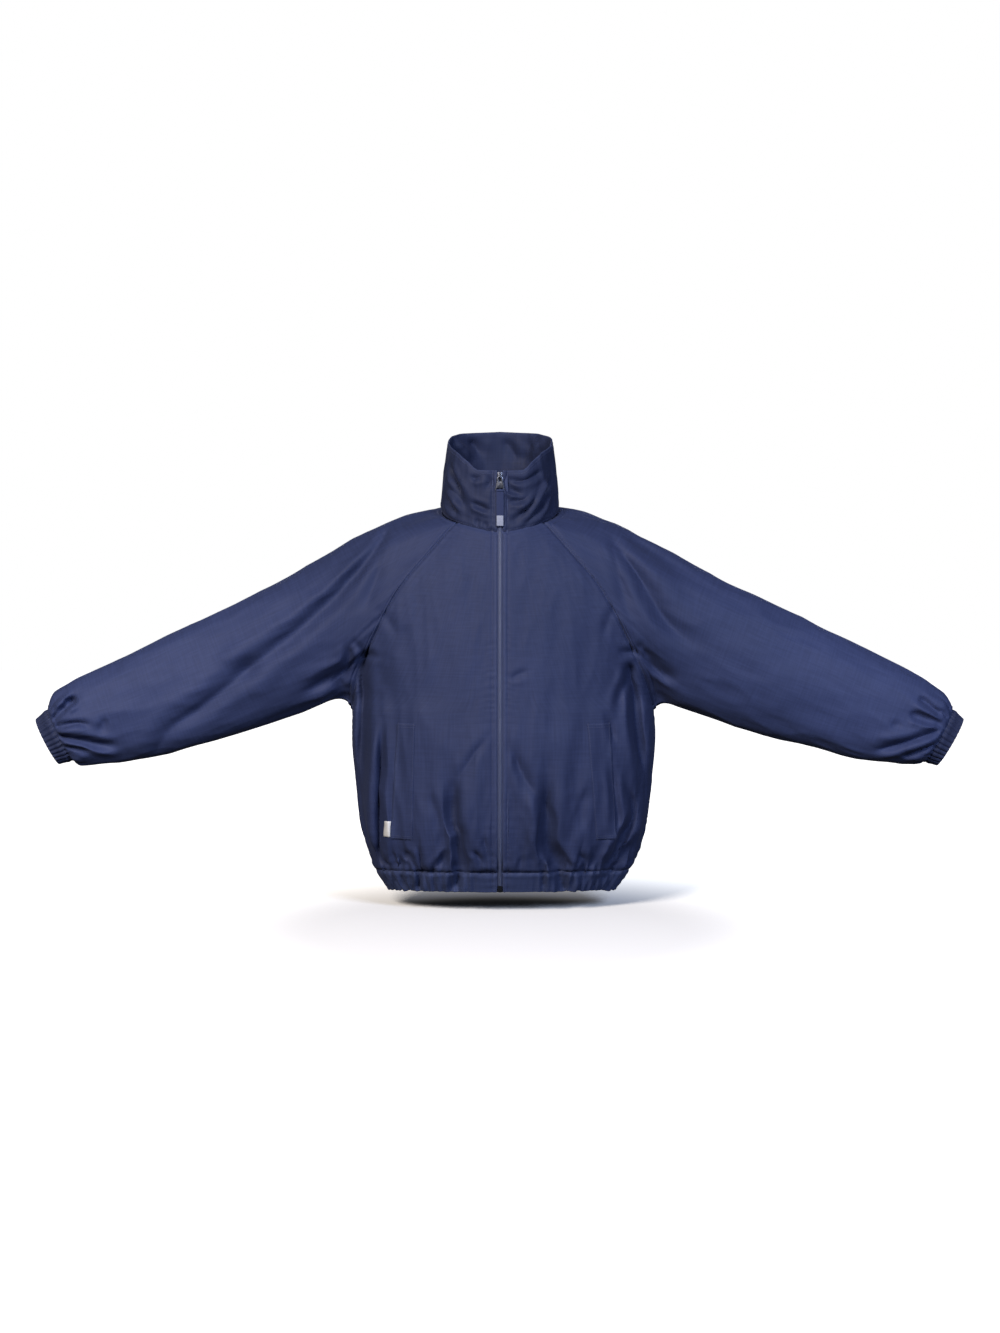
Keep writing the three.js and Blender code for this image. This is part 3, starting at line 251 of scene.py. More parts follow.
# Creases of the collar: turn from the front in degrees (the wearer's left first) and height in mm
COLLAR_CREASES = [
    Crease([(4, 84), (10, 68), (20, 56), (27, 48)], (4, 4.5), 7.5, 0.5),
    Crease([(9, 48), (20, 44), (30, 42)], (4, 4), 5.5, 0.5),
    Crease([(39, 42), (30, 30), (18, 18)], (4, 5), 10, 0.5, 0.2, 0.3),
    Crease([(66, 56), (54, 41), (42, 25), (29, 10)], (5.5, 5.5), 12, 0.5, 0.1, 0.3),
    Crease([(18, 74), (32, 76), (52, 80)], (4, 5), 5, 0.4),
    Crease([(296, 88), (305, 68), (316, 48), (324, 34)], (5, 6), 10, 0.6, 0.1, 0.3),
    Crease([(296, 56), (314, 38), (324, 22)], (5, 4.5), 8, 0.5),
    Crease([(328, 74), (341, 84)], (4, 4), 5.5, 0.5),
    Crease([(329, 38), (351, 32)], (4, 4), 7.5, 0.5),
    Crease([(290, 32), (303, 22), (318, 10)], (5, 5), 6, 0.5),
    Crease([(345, 90), (349, 78), (347, 64)], (4, 4), 6, 0.4, 0.3, 0.3),
    Crease([(8, 84), (13, 79), (26, 72)], (4.5, 4), 6, 0.4, 0.5, 0.1),
    Crease([(336, 4), (339, 16)], (3.5, 3.5), 5.5),
    Crease([(344, 3), (346, 14)], (3.5, 3.5), 5),
    Crease([(122, 112), (134, 92), (150, 62)], (9, 11), 8.5, 0.4, 0.6, 0.2),
    Crease([(243, 114), (229, 90), (210, 60)], (9, 11), 9, 0.4, 0.6, 0.2),
    Crease([(176, 104), (170, 84), (160, 58)], (7, 9), -6.5, 0.3),
    Crease([(140, 100), (148, 78), (158, 52)], (7, 9), -5, 0.3),
    Crease([(214, 106), (206, 86), (196, 66)], (7, 9), -6, 0.3),
    Crease([(236, 70), (222, 44), (206, 30)], (7, 9), -5, 0.3),
    Crease([(112, 76), (124, 48), (134, 22)], (7, 8), -5, 0.3),
]

# Pocket welts and the label: heights, and distances from the centre line at the top and the foot
Patch = namedtuple("Patch", "side top_z foot_z in_top in_foot out_top out_foot")
WELTS = {
    "right": Patch(-1, -334, -518, 134, 138, 160, 171),
    "left": Patch(1, -334, -518, 137, 152, 172, 183),
}
LABEL = Patch(-1, -490, -515, 171.4, 173, 182, 183.6)
BODY = {"half_width": 243, "half_depth": 137}  # at the pockets

# What each piece of cloth was cut to, in mm and square metres, all round on a tube, and how it is held
Cut = namedtuple("Cut", "width length area held")

# Topstitching: distances of its lines from the seam, and the size of one stitch
RAGLAN_LINES = (2.2, 9.2)
ZIP_LINES = (1.7, 7.4)
STITCH = {"length": 2.9, "gap": 0.9, "radius": 0.27}
TOOTH = {"pitch": 1.5, "wide": 1.5, "tall": 0.9, "long": 0.85}

FLOOR_Z = -634  # the hem hangs clear of the floor, which lies dark under it


def mix(a, b, t):
    return a + (b - a) * t


def smoothstep(x, low, high):
    t = np.clip((x - low) / (high - low), 0, 1)
    return t * t * (3 - 2 * t)


def unit(v):
    return v / np.maximum(np.linalg.norm(v, axis=-1, keepdims=True), 1e-9)


def through(values, place):
    """A smooth curve through evenly spaced values that never swings past them."""
    values = np.asarray(values, float)
    rise = np.diff(values)
    both, total = rise[:-1] * rise[1:], rise[:-1] + rise[1:]
    inner = np.where(both > 0, 2 * both / np.where(both > 0, total, 1), 0)
    slope = np.concatenate([rise[:1], inner, rise[-1:]])
    low = np.clip(np.floor(place).astype(int), 0, len(rise) - 1)
    f = place - low
    eased = values[low] + rise[low] * f * f * (3 - 2 * f)
    return eased + slope[low] * f * (1 - f) ** 2 - slope[low + 1] * f * f * (1 - f)


def column(rows, key, place):
    return through([getattr(row, key) for row in rows], place)


def xyz(x, y, z):
    return np.stack(np.broadcast_arrays(x, y, z), -1).astype(float)


def rolling(points, size, seed, waves=16, grain=None):
    """A smooth uneven swell of about this size, mostly between -1 and 1, drawn out along the grain."""
    rng = np.random.default_rng(seed)
    if grain is not None:
        grain = unit(np.array(grain, float))
        points = points - 0.68 * (points @ grain)[..., None] * grain
    ways = unit(rng.normal(size=(waves, 3))) * (2 * np.pi / (size * rng.uniform(0.7, 1.7, (waves, 1))))
    return np.cos(points @ ways.T + rng.uniform(0, 2 * np.pi, waves)).sum(-1) / math.sqrt(waves / 2)


# The shape of the garment
def neck_point(turn):
    """The neck seam at a turn in degrees: 0 is the front, 90 the wearer's left, 180 the back."""
    angle = np.radians(turn)
    back = (1 - np.cos(angle)) / 2
    height = mix(NECK["front_z"], NECK["back_z"], back ** NECK["rise"])
    return xyz(NECK["half_width"] * np.sin(angle), mix(NECK["front_y"], NECK["back_y"], back), height)


def panel_base(rows, side, u, row):
    """A front or back panel: u runs from the centre line to the side, row up the table."""
    arc = np.radians(column(rows, "arc", row))
    reach = column(rows, "side_x", row) / np.sin(arc)
    start = np.arcsin(ZIP_OPENING / reach) if rows is FRONT_ROWS else 0
    angle = mix(start, arc, u)
    lean = side * LOPSIDED * (1 - smoothstep(row, UNDERARM - 1, UNDERARM + 3))
    turned = (1 - np.cos(angle)) / (1 - np.cos(arc))
    x = side * reach * np.sin(angle) * (1 + lean * u)
    y = mix(column(rows, "centre_y", row), column(rows, "side_y", row), turned)
    z = mix(column(rows, "centre_z", row), column(rows, "side_z", row), u * u)
    return xyz(x, y, z), np.degrees(angle)


def pinched(phase):
    """Puffs of gathered cloth with narrow creases between them, between -1 and 1."""
    return 2 * np.abs(np.sin(phase / 2)) ** 0.7 - 1.3


def hem_ribs(turn, row):
    """How far the elastic's ribs stand out at a turn round the hem, at a row of the body."""
    from_zip = np.minimum(turn, 360 - turn)
    gathered = smoothstep(from_zip, HEM_RIBS["flat_turn"], HEM_RIBS["flat_turn"] + 10)
    uneven = turn + 2.6 * np.sin(np.radians(3 * turn)) + 1.7 * np.sin(np.radians(7 * turn + 40))
    wave = pinched(np.radians(HEM_RIBS["count"] * uneven))
    second = pinched(np.radians(1.62 * HEM_RIBS["count"] * uneven + 70))
    strength = (0.62 + 0.38 * np.sin(np.radians(11 * turn + 25))) * mix(1, 1.7, smoothstep(from_zip, 48, 72))
    band = HEM_RIBS["band"] * strength * (0.65 * wave + 0.45 * second)
    above = np.maximum(row - BAND_TOP, 0)
    swell = mix(HEM_RIBS["band"], HEM_RIBS["body"], smoothstep(above, 0, 0.6))
    fade = 1 - smoothstep(above, 0.3, HEM_RIBS["reach"] * (0.6 + 0.4 * np.sin(np.radians(13 * turn))))
    body = swell * strength * fade * mix(0.65 * wave + 0.45 * second, wave, smoothstep(above, 0, 0.5))
    return gathered * np.where(row <= BAND_TOP, band, body)


def eased_path(path, parts=5):
    """The same line with its corners rounded."""
    points = np.array([path[0], *path, path[-1]], float)
    t = np.linspace(0, 1, parts, endpoint=False)[:, None]
    legs = []
    for a, b, c, d in zip(points, points[1:], points[2:], points[3:]):
        legs.append(0.5 * (2 * b + (c - a) * t + (2 * a - 5 * b + 4 * c - d) * t**2 + (3 * b - a - 3 * c + d) * t**3))
    return np.vstack([*legs, points[-1:]])


def crease_depth(places, creases):
    """How deep a set of creases presses in at flat places."""
    total = np.zeros(len(places))
    for crease in creases:
        path = eased_path(crease.path)
        reach = 4 * max(crease.wide) + 3
        near = np.all((places > path.min(0) - reach) & (places < path.max(0) + reach), axis=1)
        if not near.any():
            continue
        here = places[near]
        best = np.full(len(here), np.inf)
        across, along, past = np.zeros(len(here)), np.zeros(len(here)), np.zeros(len(here))
        legs = np.diff(path, axis=0)
        sizes = np.linalg.norm(legs, axis=1)
        done = np.concatenate([[0], np.cumsum(sizes)])
        for k, (start, leg, size) in enumerate(zip(path, legs, sizes)):
            way = leg / size
            offset = here - start
            s = offset @ way
            held = np.clip(s, 0, size)
            beside = offset @ np.array([way[1], -way[0]])
            distance = np.hypot(beside, s - held)
            closer = distance < best
            best[closer] = distance[closer]
            before, after = (-s if k == 0 else s * 0), (s - size if k == len(legs) - 1 else s * 0)
            outside = np.maximum(np.maximum(before, after), 0)
            sideways = np.where(outside > 0, beside, np.copysign(distance, beside))
            across[closer], along[closer], past[closer] = sideways[closer], (done[k] + held)[closer], outside[closer]
        t = along / done[-1]
        wide = mix(crease.wide[0], crease.wide[1], t)
        strength = mix(crease.start, 1, smoothstep(t, 0, 0.3)) * mix(1, crease.end, smoothstep(t, 0.6, 1))
        q = across / wide
        trough = np.exp(-np.abs(q) ** 1.6)
        beside = np.exp(-(((q - 2.1) / 1.1) ** 2)) + 0.5 * np.exp(-(((q + 2.2) / 1.2) ** 2))
        total[near] += crease.deep * strength * np.exp(-((past / (1.5 * wide)) ** 2)) * (trough - crease.ridge * beside)
    return total


def press(points):
    """Presses the creases of both faces into the garment, in Y."""
    y = points[..., 1]
    depth = np.zeros(y.shape)
    for creases, here in ((FRONT_CREASES, y < 0), (BACK_CREASES, y >= 0)):
        depth[here] = crease_depth(points[here][:, [0, 2]], creases)
    by_zip = np.where(y < 0, smoothstep(np.abs(points[..., 0]), 4, ZIP_CALM), 1)
    return depth * by_zip * smoothstep(np.abs(y), 0, FACE_FADE) * -np.sign(y)


def panel_flat(rows, side, u, row):
    """A panel before its creases, with its top edge on the neck seam."""
    point, angle = panel_base(rows, side, u, row)
    near_neck = smoothstep(row, NECK_ROW - 2, NECK_ROW)[..., None]
    top, top_angle = panel_base(rows, side, u, np.full_like(row, NECK_ROW))
    front = rows is FRONT_ROWS
    turn = top_angle if front else 180 - top_angle * (180 - NECK_RAGLAN["back"]) / 38
    seam = neck_point(turn) * xyz(side, 1, 1)
    return point + (seam - top) * near_neck, angle if front else 180 - angle


def panel_point(rows, side, u, row):
    u, row = np.broadcast_arrays(np.asarray(u, float), np.asarray(row, float))
    side = np.broadcast_to(side, u.shape)
    point, turn = panel_flat(rows, side, u, row)
    point[..., 1] += press(point)
    out = np.where(row < UNDERARM, hem_ribs(np.where(side > 0, turn, 360 - turn), row), 0)
    point[..., 0] += side * out * np.sin(np.radians(turn))
    point[..., 1] -= out * np.cos(np.radians(turn))
    point[..., 2] -= 0.55 * out * np.clip(1 - row, 0, 1)
    return point


def back_point(u, row):
    """The back is one piece: u runs from the wearer's left side to the right side."""
    return panel_point(BACK_ROWS, np.where(u < 0.5, 1, -1), np.abs(1 - 2 * u), row)


def ring_point(side, around, along, out=0):
    """A ring of the sleeve: around is 0 underneath, 0.25 in front, 0.5 on top and 0.75 behind."""
    rings = LEFT_SLEEVE if side > 0 else RIGHT_SLEEVE
    at = {key: column(rings, key, along - 1) for key in Ring._fields}
    angle, slope = 2 * np.pi * around, np.radians(at["slope"])
    up = -np.cos(angle) * (at["half_height"] + out)
    return xyz(side * (at["out"] + up * np.sin(slope)), -np.sin(angle) * (at["half_depth"] + out), at["z"] + up * np.cos(slope))


def cuff_rib(around):
    angle = 2 * np.pi * around
    uneven = CUFF_RIBS["count"] * angle + 1.2 * np.sin(2 * angle) + 0.8 * np.sin(5 * angle)
    return CUFF_RIBS["depth"] * (0.2 + 0.6 * pinched(uneven))


def wrist_rib(around, along):
    angle = 2 * np.pi * around
    strength = 0.6 + 0.4 * np.sin(3 * angle + 1)
    loose = WRIST_RIBS["depth"] * strength * pinched(WRIST_RIBS["count"] * angle + 1.4 * np.sin(3 * angle))
    loose = loose * smoothstep(along, WRIST_RIBS["from"] + 0.8 * np.sin(5 * angle) ** 2, WRIST_RIBS["to"])
    return mix(loose, cuff_rib(around), smoothstep(along, WRIST_RIBS["to"] - 0.1, CUFF_SEAM))


def armhole_point(side, around):
    """The edge that the sleeve is sewn to: front raglan seam, neck, back raglan seam."""
    row = mix(UNDERARM, NECK_ROW, np.clip(np.minimum(around, 1 - around) / SEAM_SHARE, 0, 1))
    front = panel_point(FRONT_ROWS, side, 1, row)
    back = panel_point(BACK_ROWS, side, 1, row)
    across = np.clip((around - SEAM_SHARE) / (1 - 2 * SEAM_SHARE), 0, 1)
    neck = neck_point(mix(NECK_RAGLAN["front"], NECK_RAGLAN["back"], across)) * xyz(side, 1, 1)
    point = np.where((around <= SEAM_SHARE)[..., None], front, neck)
    return np.where((around >= 1 - SEAM_SHARE)[..., None], back, point)


def sleeve_point(side, around, along):
    """A point of the sleeve: along is 0 at the armhole, 1 at the first ring, CUFF_SEAM at the cuff."""
    around, along = np.broadcast_arrays(np.asarray(around, float), np.asarray(along, float))
    ring = ring_point(side, around, np.maximum(along, 1), wrist_rib(around, along))
    start, end = armhole_point(side, around), ring_point(side, around, np.ones_like(around))
    chord = end - start
    size = np.linalg.norm(chord, axis=-1, keepdims=True)
    arrive = unit(ring_point(side, around, np.full_like(around, 1.02)) - end) * size
    top = np.exp(-(((around - 0.5) / 0.16) ** 2))[..., None]
    pit = np.exp(-((np.minimum(around, 1 - around) / 0.09) ** 2))[..., None]
    leave = chord + size * (xyz(0, 0, 1) * (SHOULDER_LIFT * top + UNDERARM_LIFT["up"] * pit) + xyz(side, 0, 0) * UNDERARM_LIFT["out"] * pit)
    t = np.minimum(along, 1)[..., None]
    loft = start * (2 * t**3 - 3 * t**2 + 1) + leave * (t**3 - 2 * t**2 + t) + end * (3 * t**2 - 2 * t**3) + arrive * (t**3 - t**2)
    point = np.where((along >= 1)[..., None], ring, loft)
    fade = np.where(along >= 1, 1 - smoothstep(along, CUFF_SEAM - 0.6, CUFF_SEAM), smoothstep(along, 0, 0.3))
    point[..., 1] += press(point) * fade
    return point


def collar_point(turn, height):
    """The collar: turn in degrees from the front round by the wearer's left, height from seam to rim."""
    turn, height = np.broadcast_arrays(np.asarray(turn, float), np.asarray(height, float))
    angle = np.radians(turn)
    back = (1 - np.cos(angle)) / 2
    place = np.interp(np.minimum(turn, 360 - turn), RIM_TURNS, np.arange(len(RIM_TURNS)))
    seam = neck_point(turn)
    bulge = RIM["bulge"] * np.sin(np.pi * height)
    x = mix(seam[..., 0], RIM["half_width"] * np.sin(angle), height) + bulge * np.sin(angle)
    y = mix(seam[..., 1], mix(RIM["front_y"], RIM["back_y"], back), height) - bulge * np.cos(angle) * smoothstep(back, 0, 0.1)
    return xyz(x, y, mix(seam[..., 2], through(RIM_HEIGHTS, place), height))


# Making a piece of cloth from a grid of points
def run(points, axis=0):
    """How far each point lies along a grid from its first edge."""
    step = np.linalg.norm(np.diff(points, axis=axis), axis=-1)
    pad = [(0, 0)] * step.ndim
    pad[axis] = (1, 0)
    return np.cumsum(np.pad(step, pad), axis=axis)


def evenly(curve, low, high, pitch, first=CLOSE, last=CLOSE):
    """Places along a curve at an even pitch, closer where its ends are sewn."""
    fine = np.linspace(low, high, 500)
    length = run(curve(fine))
    total = length[-1]
    first, last = [0, *first], [0, *last]
    between = np.linspace(first[-1], total - last[-1], max(2, round((total - first[-1] - last[-1]) / pitch) + 1))
    return np.interp([*first[:-1], *between, *(total - np.array(last[-2::-1]))], length, fine)


def facing(points, closed=False, flip=False):
    """The outward direction at each point of a grid."""
    across = (np.roll(points, -1, 1) - np.roll(points, 1, 1)) if closed else np.gradient(points, axis=1)
    return unit(np.cross(across, np.gradient(points, axis=0))) * (-1 if flip else 1)


Cloth = namedtuple("Cloth", "name points normals closed flip object")


def edge_distances(points, closed):
    """Distance of each point from the low, high, start and end edges."""
    up = run(points, 0)
    low, high = up, up[-1] - up
    if closed:
        return low, high, np.full(low.shape, 1e3), np.full(low.shape, 1e3)
    across = run(points, 1)
    return low, high, across, across[:, -1:] - across


def ripples(along, seed, pitch):
    """Uneven little waves along a seam."""
    phase = along / pitch + 0.9 * np.sin(along / 31 + seed) + 0.5 * np.sin(along / 13 + 2 * seed)
    return np.cos(2 * np.pi * phase) * (0.55 + 0.45 * np.sin(along / 47 + 3 * seed))


def make_cloth(name, points, material, replaced, closed=False, flip=False, thick=SHELL, sewn="", free=""):
    """A wall of cloth with rounded edges. points is its outer skin, a grid of rows from low to high."""
    normals = facing(points, closed, flip)
    inner = points - normals * thick
    rows, wide = points.shape[:2]
    count = rows * wide
    index = np.arange(count).reshape(rows, wide)
    girth = run(np.concatenate([points, points[:, :1]], 1) if closed else points, 1)
    u = girth[rows // 2] - girth[rows // 2].mean()
    v = run(points, 0).mean(1)
    grid = np.concatenate([index, index[:, :1]], 1) if closed else index
    corner = [(slice(None, -1), slice(None, -1)), (slice(None, -1), slice(1, None)), (slice(1, None), slice(1, None)), (slice(1, None), slice(None, -1))]
    us, vs = np.meshgrid(u, v)
    quads = np.stack([grid[c] for c in corner], -1).reshape(-1, 4)
    flat = np.stack([np.stack([us[c], vs[c]], -1) for c in corner], -2).reshape(-1, 4, 2)
    if closed:
        loops = [index[0], index[-1, ::-1]]
    else:
        loops = [np.concatenate([index[0, :-1], index[:-1, -1], index[-1, :0:-1], index[:0:-1, 0]])]
    outer_flat = points.reshape(-1, 3)
    vertices = [outer_flat, inner.reshape(-1, 3)]
    faces, uvs = [quads, quads[:, ::-1] + count], [flat, flat[:, ::-1]]
    place = np.zeros((count, 2))
    place[index.ravel()] = np.stack([us[:, :wide], vs[:, :wide]], -1).reshape(-1, 2)
    first = 2 * count
    for loop in loops:
        after = np.roll(loop, -1)
        way = unit(outer_flat[after] - outer_flat[np.roll(loop, 1)])
        outward = unit(np.cross(way, normals.reshape(-1, 3)[loop])) * (-1 if flip else 1)
        middle = (outer_flat[loop] + inner.reshape(-1, 3)[loop]) / 2 + outward * thick * 0.4
        vertices.append(middle)
        a, b = first + np.arange(len(loop)), first + np.roll(np.arange(len(loop)), -1)
        faces += [np.stack([after, loop, a, b], -1), np.stack([b, a, loop + count, after + count], -1)]
        uvs += [np.stack([place[after], place[loop], place[loop], place[after]], 1)] * 2
        first += len(loop)
    faces, uvs = np.concatenate(faces), np.concatenate(uvs)
    if flip:
        faces, uvs = faces[:, ::-1], uvs[:, ::-1]
    vertices = np.concatenate(vertices)
    mesh = bpy.data.meshes.new(name)
    mesh.from_pydata((vertices * MM).tolist(), [], faces.tolist())
    mesh.polygons.foreach_set("use_smooth", np.ones(len(faces), bool))
    layer = mesh.uv_layers.new(name="cut")
    layer.data.foreach_set("uv", (uvs * MM).astype(np.float32).ravel())
    distances = dict(zip(("low", "high", "start", "end"), edge_distances(points, closed)))
    nearest = np.min([distances[edge] for edge in (sewn + " " + free).split()] or [np.full((rows, wide), 1e3)], 0).ravel()
    attribute = mesh.attributes.new("edge_wear", "FLOAT", "POINT")
    wear = np.exp(-nearest / 4)
    values = np.concatenate([wear, wear, np.ones(len(vertices) - 2 * count)])
    attribute.data.foreach_set("value", values.astype(np.float32))
    mesh.update()
    mesh.materials.append(material)
    piece = bpy.data.objects.new(name, mesh)
    bpy.context.scene.collection.objects.link(piece)
    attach(piece, "jacket")
    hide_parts(*replaced)
    return Cloth(name, points, normals, closed, flip, piece)


def sewn_down(points, edges, closed=False, flip=False, seed=0, pucker=0.7, crumple=0.55, grain=(0, 0, 1), puff=0,
              stitched=None):
    """Sinks the seams, puckers the cloth beside them and adds the soft crumples of light nylon. puff is
    how far the cloth blouses out above its low edge, and stitched the distance of a second stitched line
    from each edge that has one."""
    normals = facing(points, closed, flip)
    low, high, start, end = edge_distances(points, closed)
    distances = {"low": low, "high": high, "start": start, "end": end}
    runs = {"low": run(points, 1), "high": run(points, 1), "start": low, "end": low}
    up, across = unit(np.gradient(points, axis=0)), unit(np.gradient(points, axis=1))
    towards = {"low": -up, "high": up, "start": -across, "end": across}
    lapped = np.zeros(points.shape)
    out = np.zeros(low.shape)
    nearest = np.minimum(start, end)
    for edge in edges:
        d = distances[edge]
        nearest = np.minimum(nearest, d)
        out -= SEAM["deep"] * np.exp(-((d / SEAM["wide"]) ** 2))
        lapped += towards[edge] * (SEAM["lap"] * np.exp(-((d / 1.4) ** 2)))[..., None]
        out += 0.45 * np.exp(-(((d - 6.5) / 3.2) ** 2))
    stitched = stitched or {}
    for edge in {*edges, *stitched}:
        d = distances[edge]
        wave = ripples(runs[edge], seed + len(edge), 13)
        out += pucker * wave * smoothstep(d, 0.5, 5) * np.exp(-d / 15)
        out -= 1.2 * np.exp(-(((d - stitched.get(edge, 1e3)) / 1.9) ** 2))
    facing_out = smoothstep(np.abs(normals[..., 1]), 0.5, 0.95)
    out += puff * np.exp(-(((low - 12) / 9) ** 2)) * (1 + 0.5 * np.sin(runs["low"] / 37)) * facing_out
    swell = rolling(points, 60, seed + 1, grain=grain)
    creased = 0.55 - np.abs(rolling(points, 40, seed + 2, grain=grain))
    small = 0.55 - np.abs(rolling(points, 19, seed + 3, grain=grain))
    quiet = smoothstep(nearest, 0, 14)
    out += quiet * crumple * (1.4 * swell + 1.5 * creased + 0.45 * small)
    return points + normals * out[..., None] + lapped


# Materials
def linear(hex_colour):
    """An sRGB hex colour as linear RGBA."""
    channels = [int(hex_colour[k : k + 2], 16) / 255 for k in (0, 2, 4)]
    return (*[c / 12.92 if c <= 0.04045 else ((c + 0.055) / 1.055) ** 2.4 for c in channels], 1)


def add(tree, kind, links=None, **settings):
    """Adds a node. links gives its inputs, each a value or another node's output."""
    node = tree.nodes.new(kind)
    for key, value in settings.items():
        setattr(node, key, value)
    for key, value in (links or {}).items():
        if isinstance(value, bpy.types.NodeSocket):
            tree.links.new(value, node.inputs[key])
        else:
            node.inputs[key].default_value = value
    return node


def new_material(name):
    material = bpy.data.materials.new(name)
    material.use_nodes = True
    material.node_tree.nodes.clear()
    return material, material.node_tree


def woven(name, deep, pale, worn, thread_mm, roughness, sheen, crinkle_mm=0.08, weave=0.5, outward_painted_light=1.0):
    """Woven nylon: two crossing sets of threads, soft crinkles, a violet drift in the dye, a paler, rubbed look along
    the edges, and painted light that makes it paler further out from the middle."""
    material, tree = new_material(name)
    at = add(tree, "ShaderNodeTexCoord")
    drift = add(tree, "ShaderNodeTexNoise", {"Vector": at.outputs["Object"], "Scale": 1 / 0.16, "Detail": 2.0})
    dye = add(tree, "ShaderNodeMix", {"Factor": drift.outputs["Fac"], "A": linear(deep), "B": linear(pale)}, data_type="RGBA")
    edge = add(tree, "ShaderNodeAttribute", attribute_name="edge_wear")
    speck = add(tree, "ShaderNodeTexNoise", {"Vector": at.outputs["Object"], "Scale": 1 / 0.006, "Detail": 3.0})
    rub = add(tree, "ShaderNodeMath", {0: edge.outputs["Fac"], 1: speck.outputs["Fac"]}, operation="MULTIPLY")
    # Slubs in warp and weft, drawn two threads wide so that they show from a step away
    streaks = []
    for stretch in ((1, 0.05, 1), (0.05, 1, 1)):
        pulled = add(tree, "ShaderNodeVectorMath", {0: at.outputs["UV"], 1: stretch}, operation="MULTIPLY")
        streaks.append(add(tree, "ShaderNodeTexNoise", {"Vector": pulled.outputs["Vector"], "Scale": 1 / (2 * thread_mm * MM), "Detail": 1.0}).outputs["Fac"])
    slubs = add(tree, "ShaderNodeMath", {0: streaks[0], 1: streaks[1]}, operation="ADD")
    bright = add(tree, "ShaderNodeMapRange", {"Value": slubs.outputs[0], "From Min": 0.7, "From Max": 1.3, "To Min": 0.9, "To Max": 1.1})
    # Painted light: the cloth is drawn a shade paler further out from the middle, towards the cuffs
    place = add(tree, "ShaderNodeSeparateXYZ", {"Vector": at.outputs["Object"]})
    outwards = add(tree, "ShaderNodeMath", {0: place.outputs["X"]}, operation="ABSOLUTE")
    painted_light_outwards = add(tree, "ShaderNodeMapRange", {"Value": outwards.outputs[0], "From Min": 0.22, "From Max": 0.5, "To Min": 1.0, "To Max": outward_painted_light})
    slubs_and_painted_light = add(tree, "ShaderNodeMath", {0: bright.outputs["Result"], 1: painted_light_outwards.outputs["Result"]}, operation="MULTIPLY")
    dyed = add(tree, "ShaderNodeVectorMath", {0: dye.outputs["Result"], "Scale": slubs_and_painted_light.outputs[0]}, operation="SCALE")
    colour = add(tree, "ShaderNodeMix", {"Factor": rub.outputs[0], "A": dyed.outputs["Vector"], "B": linear(worn)}, data_type="RGBA")
    apart = add(tree, "ShaderNodeSeparateXYZ", {"Vector": at.outputs["UV"]})
    turns = 2 * math.pi / (thread_mm * MM)
    threads = []
    for axis in ("X", "Y"):
        scaled = add(tree, "ShaderNodeMath", {0: apart.outputs[axis], 1: turns}, operation="MULTIPLY")
        threads.append(add(tree, "ShaderNodeMath", {0: scaled.outputs[0]}, operation="SINE").outputs[0])
    cloth = add(tree, "ShaderNodeMath", {0: threads[0], 1: threads[1]}, operation="MULTIPLY")
    crinkle = add(tree, "ShaderNodeTexNoise", {"Vector": at.outputs["Object"], "Scale": 1 / 0.022, "Detail": 3.0, "Roughness": 0.55})
    soft = add(tree, "ShaderNodeBump", {"Height": crinkle.outputs["Fac"], "Distance": crinkle_mm * 3 * MM, "Strength": 0.5})
    bump = add(tree, "ShaderNodeBump", {"Height": cloth.outputs[0], "Distance": 0.05 * MM, "Strength": weave, "Normal": soft.outputs["Normal"]})
    gloss = add(tree, "ShaderNodeMapRange", {"Value": speck.outputs["Fac"], "To Min": roughness - 0.05, "To Max": roughness + 0.07})
    shader = add(tree, "ShaderNodeBsdfPrincipled", {
        "Base Color": colour.outputs["Result"], "Roughness": gloss.outputs["Result"], "IOR": 1.53,
        "Specular IOR Level": 0.1, "Sheen Weight": sheen, "Sheen Roughness": 0.45, "Sheen Tint": linear("a9b0dc"), "Normal": bump.outputs["Normal"],
    })
    add(tree, "ShaderNodeOutputMaterial", {"Surface": shader.outputs[0]})
    return material


def plain(name, colour, roughness, metallic=0.0, grain_and_glint_mm=0.8, depth_mm=0.02, second=None):
    """A small hard or woven part with a fine grain in its colour and surface; on the metal the brighter spots of that
    grain are painted glints.
    """
    material, tree = new_material(name)
    at = add(tree, "ShaderNodeTexCoord")
    grain = add(tree, "ShaderNodeTexNoise", {"Vector": at.outputs["Object"], "Scale": 1 / (grain_and_glint_mm * MM), "Detail": 2.0})
    tint = add(tree, "ShaderNodeMix", {"Factor": grain.outputs["Fac"], "A": linear(colour), "B": linear(second or colour)}, data_type="RGBA")
    bump = add(tree, "ShaderNodeBump", {"Height": grain.outputs["Fac"], "Distance": depth_mm * MM, "Strength": 0.5})
    gloss = add(tree, "ShaderNodeMapRange", {"Value": grain.outputs["Fac"], "To Min": roughness - 0.06, "To Max": roughness + 0.06})
    shader = add(tree, "ShaderNodeBsdfPrincipled", {
        "Base Color": tint.outputs["Result"], "Roughness": gloss.outputs["Result"], "Metallic": metallic, "Normal": bump.outputs["Normal"],
    })
    add(tree, "ShaderNodeOutputMaterial", {"Surface": shader.outputs[0]})
    return material


# Air-textured nylon, piece-dyed navy: soft low gloss with a violet bloom at grazing angles
# Its outer parts get painted light, up to 1.38 times paler towards the cuffs.
NYLON = woven("navy_nylon_woven", "222943", "2a314e", "353d5a", 1.3, 0.6, 0.03, outward_painted_light=1.38)
# The collar and cuffs are two layers of it; their darker tone is painted shade
DARKER_NYLON_PAINTED_SHADE = woven("navy_nylon_painted_shade", "1b2138", "222840", "333a56", 1.3, 0.6, 0.05)
